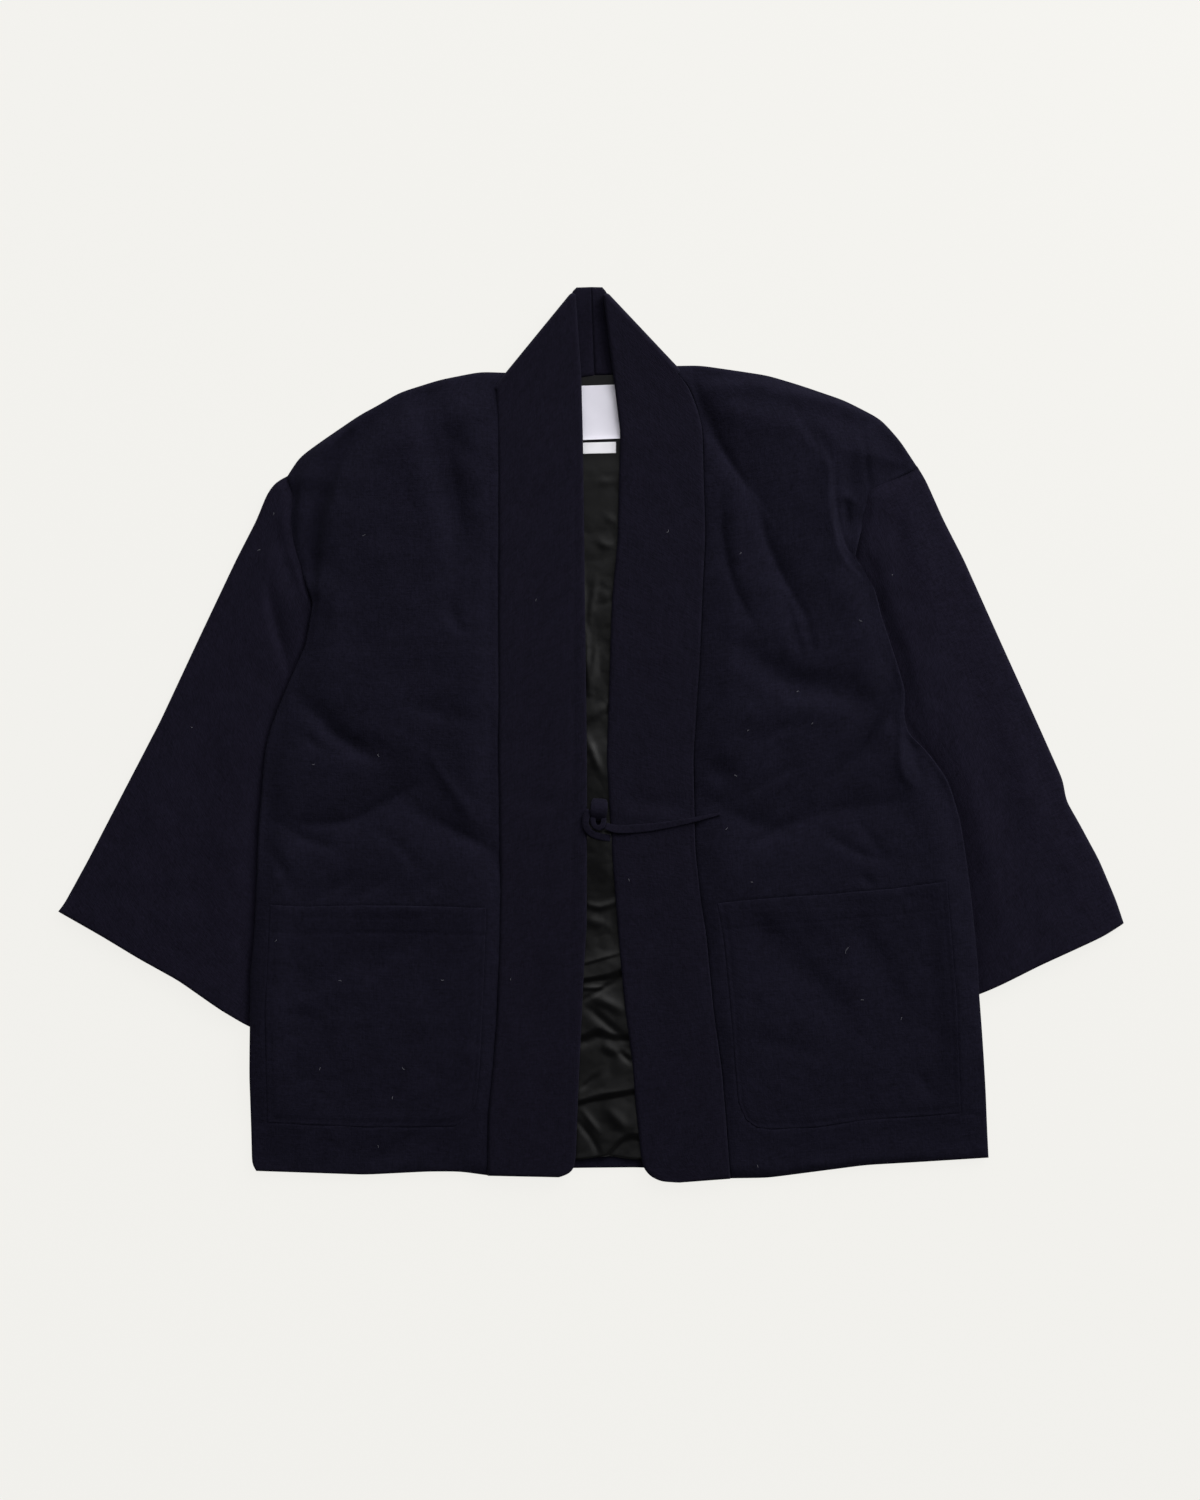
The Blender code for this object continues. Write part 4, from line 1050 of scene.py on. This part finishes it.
def build_ties():
    rest = KNOT_Z + TIE_THICK / 2
    route = [(13.5, -85.5, rest + 1.4), (20, -88.2, rest + 1.0), (30, -88.8, rest + 0.2),
             (45, -88.0, rest - 0.1), (60, -86.6, rest - 0.1), (78, -83.6, rest),
             (92, -80.8, rest + 0.2)]
    for x, y in ((99, -79.3), (106, -77.8), (113, -76.2), (121, -74.2)):
        ground = float(front_top(np.array([[x, y]], float), "left")[0])
        route.append((x, y, max(rest - 0.4, ground + 0.8)))
    end, points = strap("tie_left_end", route, TIE_WIDTH, TIE_THICK, 2.0,
                        (0.85, 1, 1, 0.95, 0.85, 0.72, 0.6, 0.48, 0.34),
                        [(0, 0.30, 0.95), (0, 0.05, 1), (0, 0, 1), (0, 0.1, 1), (0.1, 0.3, 0.95)])
    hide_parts("tie_left")

    # The knot: x, y and height above the band of each strand's points
    low = [(-1.0, -71, -0.2), (-4.2, -75, 0.9), (-5.6, -81, 1.2), (-5.0, -87, 1.2),
           (-0.8, -92.4, 1.0), (5, -95.0, 0.5), (12, -96.4, -0.2), (18.5, -97.2, -2.0)]
    cap = [(8.2, -60.5, -5.0), (8.0, -63.5, -0.8), (7.7, -68, 2.0), (7.3, -73, 2.6),
           (6.9, -77, 1.0), (6.6, -81, -3.4)]
    ring = [(3.2, -74.5, -2.5), (1.2, -79, 0.6), (2.2, -86, 1.6), (6.8, -88.8, 1.9),
            (11.4, -86, 1.6), (12.4, -79, 0.4), (11.0, -74.5, -2.5)]
    under = [(6.8, -70, -5.2), (7.2, -80, -5.0), (9.0, -91, -5.2)]
    low_leans = [(0.6, 0, 1), (0, 0, 1), (-0.15, 0, 1), (0, 0, 1), (0, 0.1, 1)]
    for name, route, *shape in (
            ("loop", low, 6.6, 2.2, 2.0, (1, 1), low_leans),
            ("lobe", cap, 16.0, 2.8, 1.0, (0.78, 0.98, 1, 1, 0.9, 0.62), UPRIGHT),
            ("ring", ring, 5.2, 3.0, 1.0, (1, 1), UPRIGHT),
            ("under", under, 12.0, 2.2, 1.0, (1, 1), UPRIGHT)):
        route = [(x, y, KNOT_Z + z) for x, y, z in route]
        piece, _ = strap("tie_right_" + name, route, *shape)
        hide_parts("tie_right")


# Sewing thread and lint


def threads(name, strands, radius, material):
    """Short threads through lists of (x, y, z) points, closed at both ends, as one joined mesh."""
    points, faces, uv = [], [], []
    sides = 6
    caps = np.array([(0, 1, 2, 3), (0, 3, 4, 5)])
    angles = np.linspace(0, 2 * math.pi, sides, endpoint=False)
    for strand in strands:
        strand = np.array(strand, float)
        ahead = np.gradient(strand, axis=0)
        ahead /= np.linalg.norm(ahead, axis=1)[:, None]
        across = np.cross(ahead, (0, 0, 1))
        across /= np.linalg.norm(across, axis=1)[:, None]
        upward = np.cross(across, ahead)
        first, count = len(points), len(strand)
        for k in range(count):
            thick = radius * (0.55 if k in (0, count - 1) else 1.0)
            ring = (strand[k] + np.cos(angles)[:, None] * across[k] * thick
                    + np.sin(angles)[:, None] * upward[k] * thick)
            points.extend(ring.tolist())
            uv.extend([(float(a), float(k)) for a in angles])
        faces.extend((strip_faces(sides, count) + first).tolist())
        last = first + (count - 1) * sides
        faces.extend((caps[:, ::-1] + first).tolist() + (caps + last).tolist())
    piece = add_mesh(name, points, faces, uv, material)
    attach(piece, "root")


def stitches_on(path, height_at):
    """Stitches along a plan path: each dips into the cloth at both ends."""
    total = length_of(path)
    starts = np.arange(STITCH_PITCH * 0.5, total - STITCH, STITCH_PITCH)
    shares = np.array([0.0, 0.22, 0.5, 0.78, 1.0])
    places = (starts[:, None] + STITCH * shares[None, :]) / total
    plan = along(path, places.ravel())
    height = height_at(plan).reshape(places.shape)
    level = height + THREAD_RADIUS * np.array([-1.6, -0.3, 0.0, -0.3, -1.6])
    return [*at_height(plan.reshape(*places.shape, 2), level)]


def sew_pocket(side, material):
    plan, _, across, up = pocket_panel(side)
    height = np.linalg.norm(plan[-1] - plan[0], axis=-1).mean()
    width = np.linalg.norm(plan[:, -1] - plan[:, 0], axis=-1).mean()
    hem_row = np.argmin(np.abs((1 - up) * height - POCKET_HEM))
    low_row = np.argmin(np.abs(up * height - POCKET_STITCH))
    first = np.argmin(np.abs(across * width - POCKET_STITCH))
    last = np.argmin(np.abs((1 - across) * width - POCKET_STITCH))

    def at_line(points):
        return front_top(points, side) + GAP + POCKET_WALL - 0.5

    rows = [plan[hem_row, first:last + 1], plan[low_row, first:last + 1],
            plan[low_row:, first], plan[low_row:, last]]
    strands = [strand for row in rows for strand in stitches_on(softened(row, 2.0), at_line)]
    threads("pocket_" + side + "_stitches", strands, THREAD_RADIUS, material)


def sew_seams(material):
    """Topstitching beside the band's seams."""
    for name, side, height_at in (
            ("front_right", "right", lambda points: front_top(points, "right")),
            ("band_left", "left", lambda points: np.full(points.shape[:-1], BAND_TOP - 0.7))):
        strands = stitches_on(softened(SEAM_STITCHES[side], 7.0), height_at)
        threads(name + "_stitches", strands, THREAD_RADIUS, material)


def lint(material):
    """Loose fibres caught on the nap."""
    bpy.context.view_layer.update()
    ground = bpy.context.evaluated_depsgraph_get()
    dice = np.random.default_rng(8)
    strands = []
    for px, py, size in LINT:
        x, y = (px - MIDDLE_PIXEL[0]) * PIXEL, (MIDDLE_PIXEL[1] - py) * PIXEL
        turn = dice.uniform(0, math.pi)
        bend = dice.uniform(-0.7, 0.7)
        strand = []
        for share in np.linspace(-0.5, 0.5, 7):
            angle = turn + bend * share * 2
            at = (x + math.cos(angle) * size * share, y + math.sin(angle) * size * share)
            hit, place, *_ = bpy.context.scene.ray_cast(
                ground, Vector((at[0] * MM, at[1] * MM, 0.2)), Vector((0, 0, -1)))
            if hit:
                strand.append((*at, place.z / MM + 0.12))
        if len(strand) == 7:
            strands.append(strand)
    threads("lint", strands, LINT_RADIUS, material)


# Table, light and camera


def floor_and_light():
    """A pale lit table, one broad soft light from the collar's side, and even light all round."""
    mesh = bpy.data.meshes.new("table")
    half = 4.0
    mesh.from_pydata([(-half, -half, 0), (half, -half, 0), (half, half, 0), (-half, half, 0)], [],
                     [(0, 1, 2, 3)])
    material, shader = new_material("table", 1.0, 0.0)
    tone = linear(242, 241, 237)
    shader.inputs["Base Color"].default_value = (*[c * 0.05 for c in tone], 1)
    shader.inputs["Emission Color"].default_value = (*tone, 1)
    shader.inputs["Emission Strength"].default_value = 0.95
    table = finish_object("table", mesh, material)
    table.location.z = -0.0002
    world = bpy.data.worlds.new("studio")
    bpy.context.scene.world = world
    world.use_nodes = True
    sky = world.node_tree.nodes["Background"]
    sky.inputs["Color"].default_value = (1.0, 1.0, 1.0, 1)
    place = add_node(world, "ShaderNodeTexCoord", output="Generated")
    facing = add_node(world, "ShaderNodeVectorMath", {0: place}, "Value", operation="DOT_PRODUCT")
    facing.node.inputs[1].default_value = Vector((0.52, 0.76, 0.42)).normalized()
    glow = add_node(world, "ShaderNodeMapRange", {"Value": facing}, From_Min=0.30, From_Max=1.0,
                    To_Min=0.09, To_Max=2.4, interpolation_type="SMOOTHSTEP")
    world.node_tree.links.new(glow, sky.inputs["Strength"])
    for name, place, watts in (("key", (1.3, 1.4, 0.9), 34), ("fill", (-1.15, 1.7, 0.9), 10.5)):
        lamp = bpy.data.lights.new(name, "AREA")
        lamp.energy = watts
        lamp.size = 1.1
        light = bpy.data.objects.new(name, lamp)
        bpy.context.scene.collection.objects.link(light)
        light.location = place
        toward = Vector((0.0, -0.1, 0.0)) - light.location
        light.rotation_euler = toward.to_track_quat("-Z", "Y").to_euler()


def camera():
    """Straight down on the middle of the photograph's frame."""
    view = bpy.data.cameras.new("camera")
    view.lens = LENS
    view.sensor_width = SENSOR
    eye = bpy.data.objects.new("camera", view)
    bpy.context.scene.collection.objects.link(eye)
    x = (PHOTO_SIZE[0] / 2 - MIDDLE_PIXEL[0]) * PIXEL
    y = (MIDDLE_PIXEL[1] - PHOTO_SIZE[1] / 2) * PIXEL + CAMERA_SHIFT
    z = (PHOTO_SIZE[1] * PIXEL * LENS / SENSOR + CLOTH_LEVEL) * NEARER
    eye.location = (x * MM, y * MM, z * MM)
    bpy.context.scene.camera = eye


bpy.context.scene.view_settings.view_transform = "Standard"
camera()
floor_and_light()
build_back()
for wearer_side in SIDES:
    build_front(wearer_side)
    build_sleeve(wearer_side)
    build_band(wearer_side)
    build_pocket(wearer_side)
build_lining()
for label_name in LABELS:
    build_label(label_name)
build_ties()
THREAD = plain_material("sewing_thread", (0.0040, 0.0034, 0.0078), 0.9)
for wearer_side in SIDES:
    sew_pocket(wearer_side, THREAD)
sew_seams(THREAD)
lint(plain_material("lint_fibre", (0.15, 0.15, 0.17), 0.8))
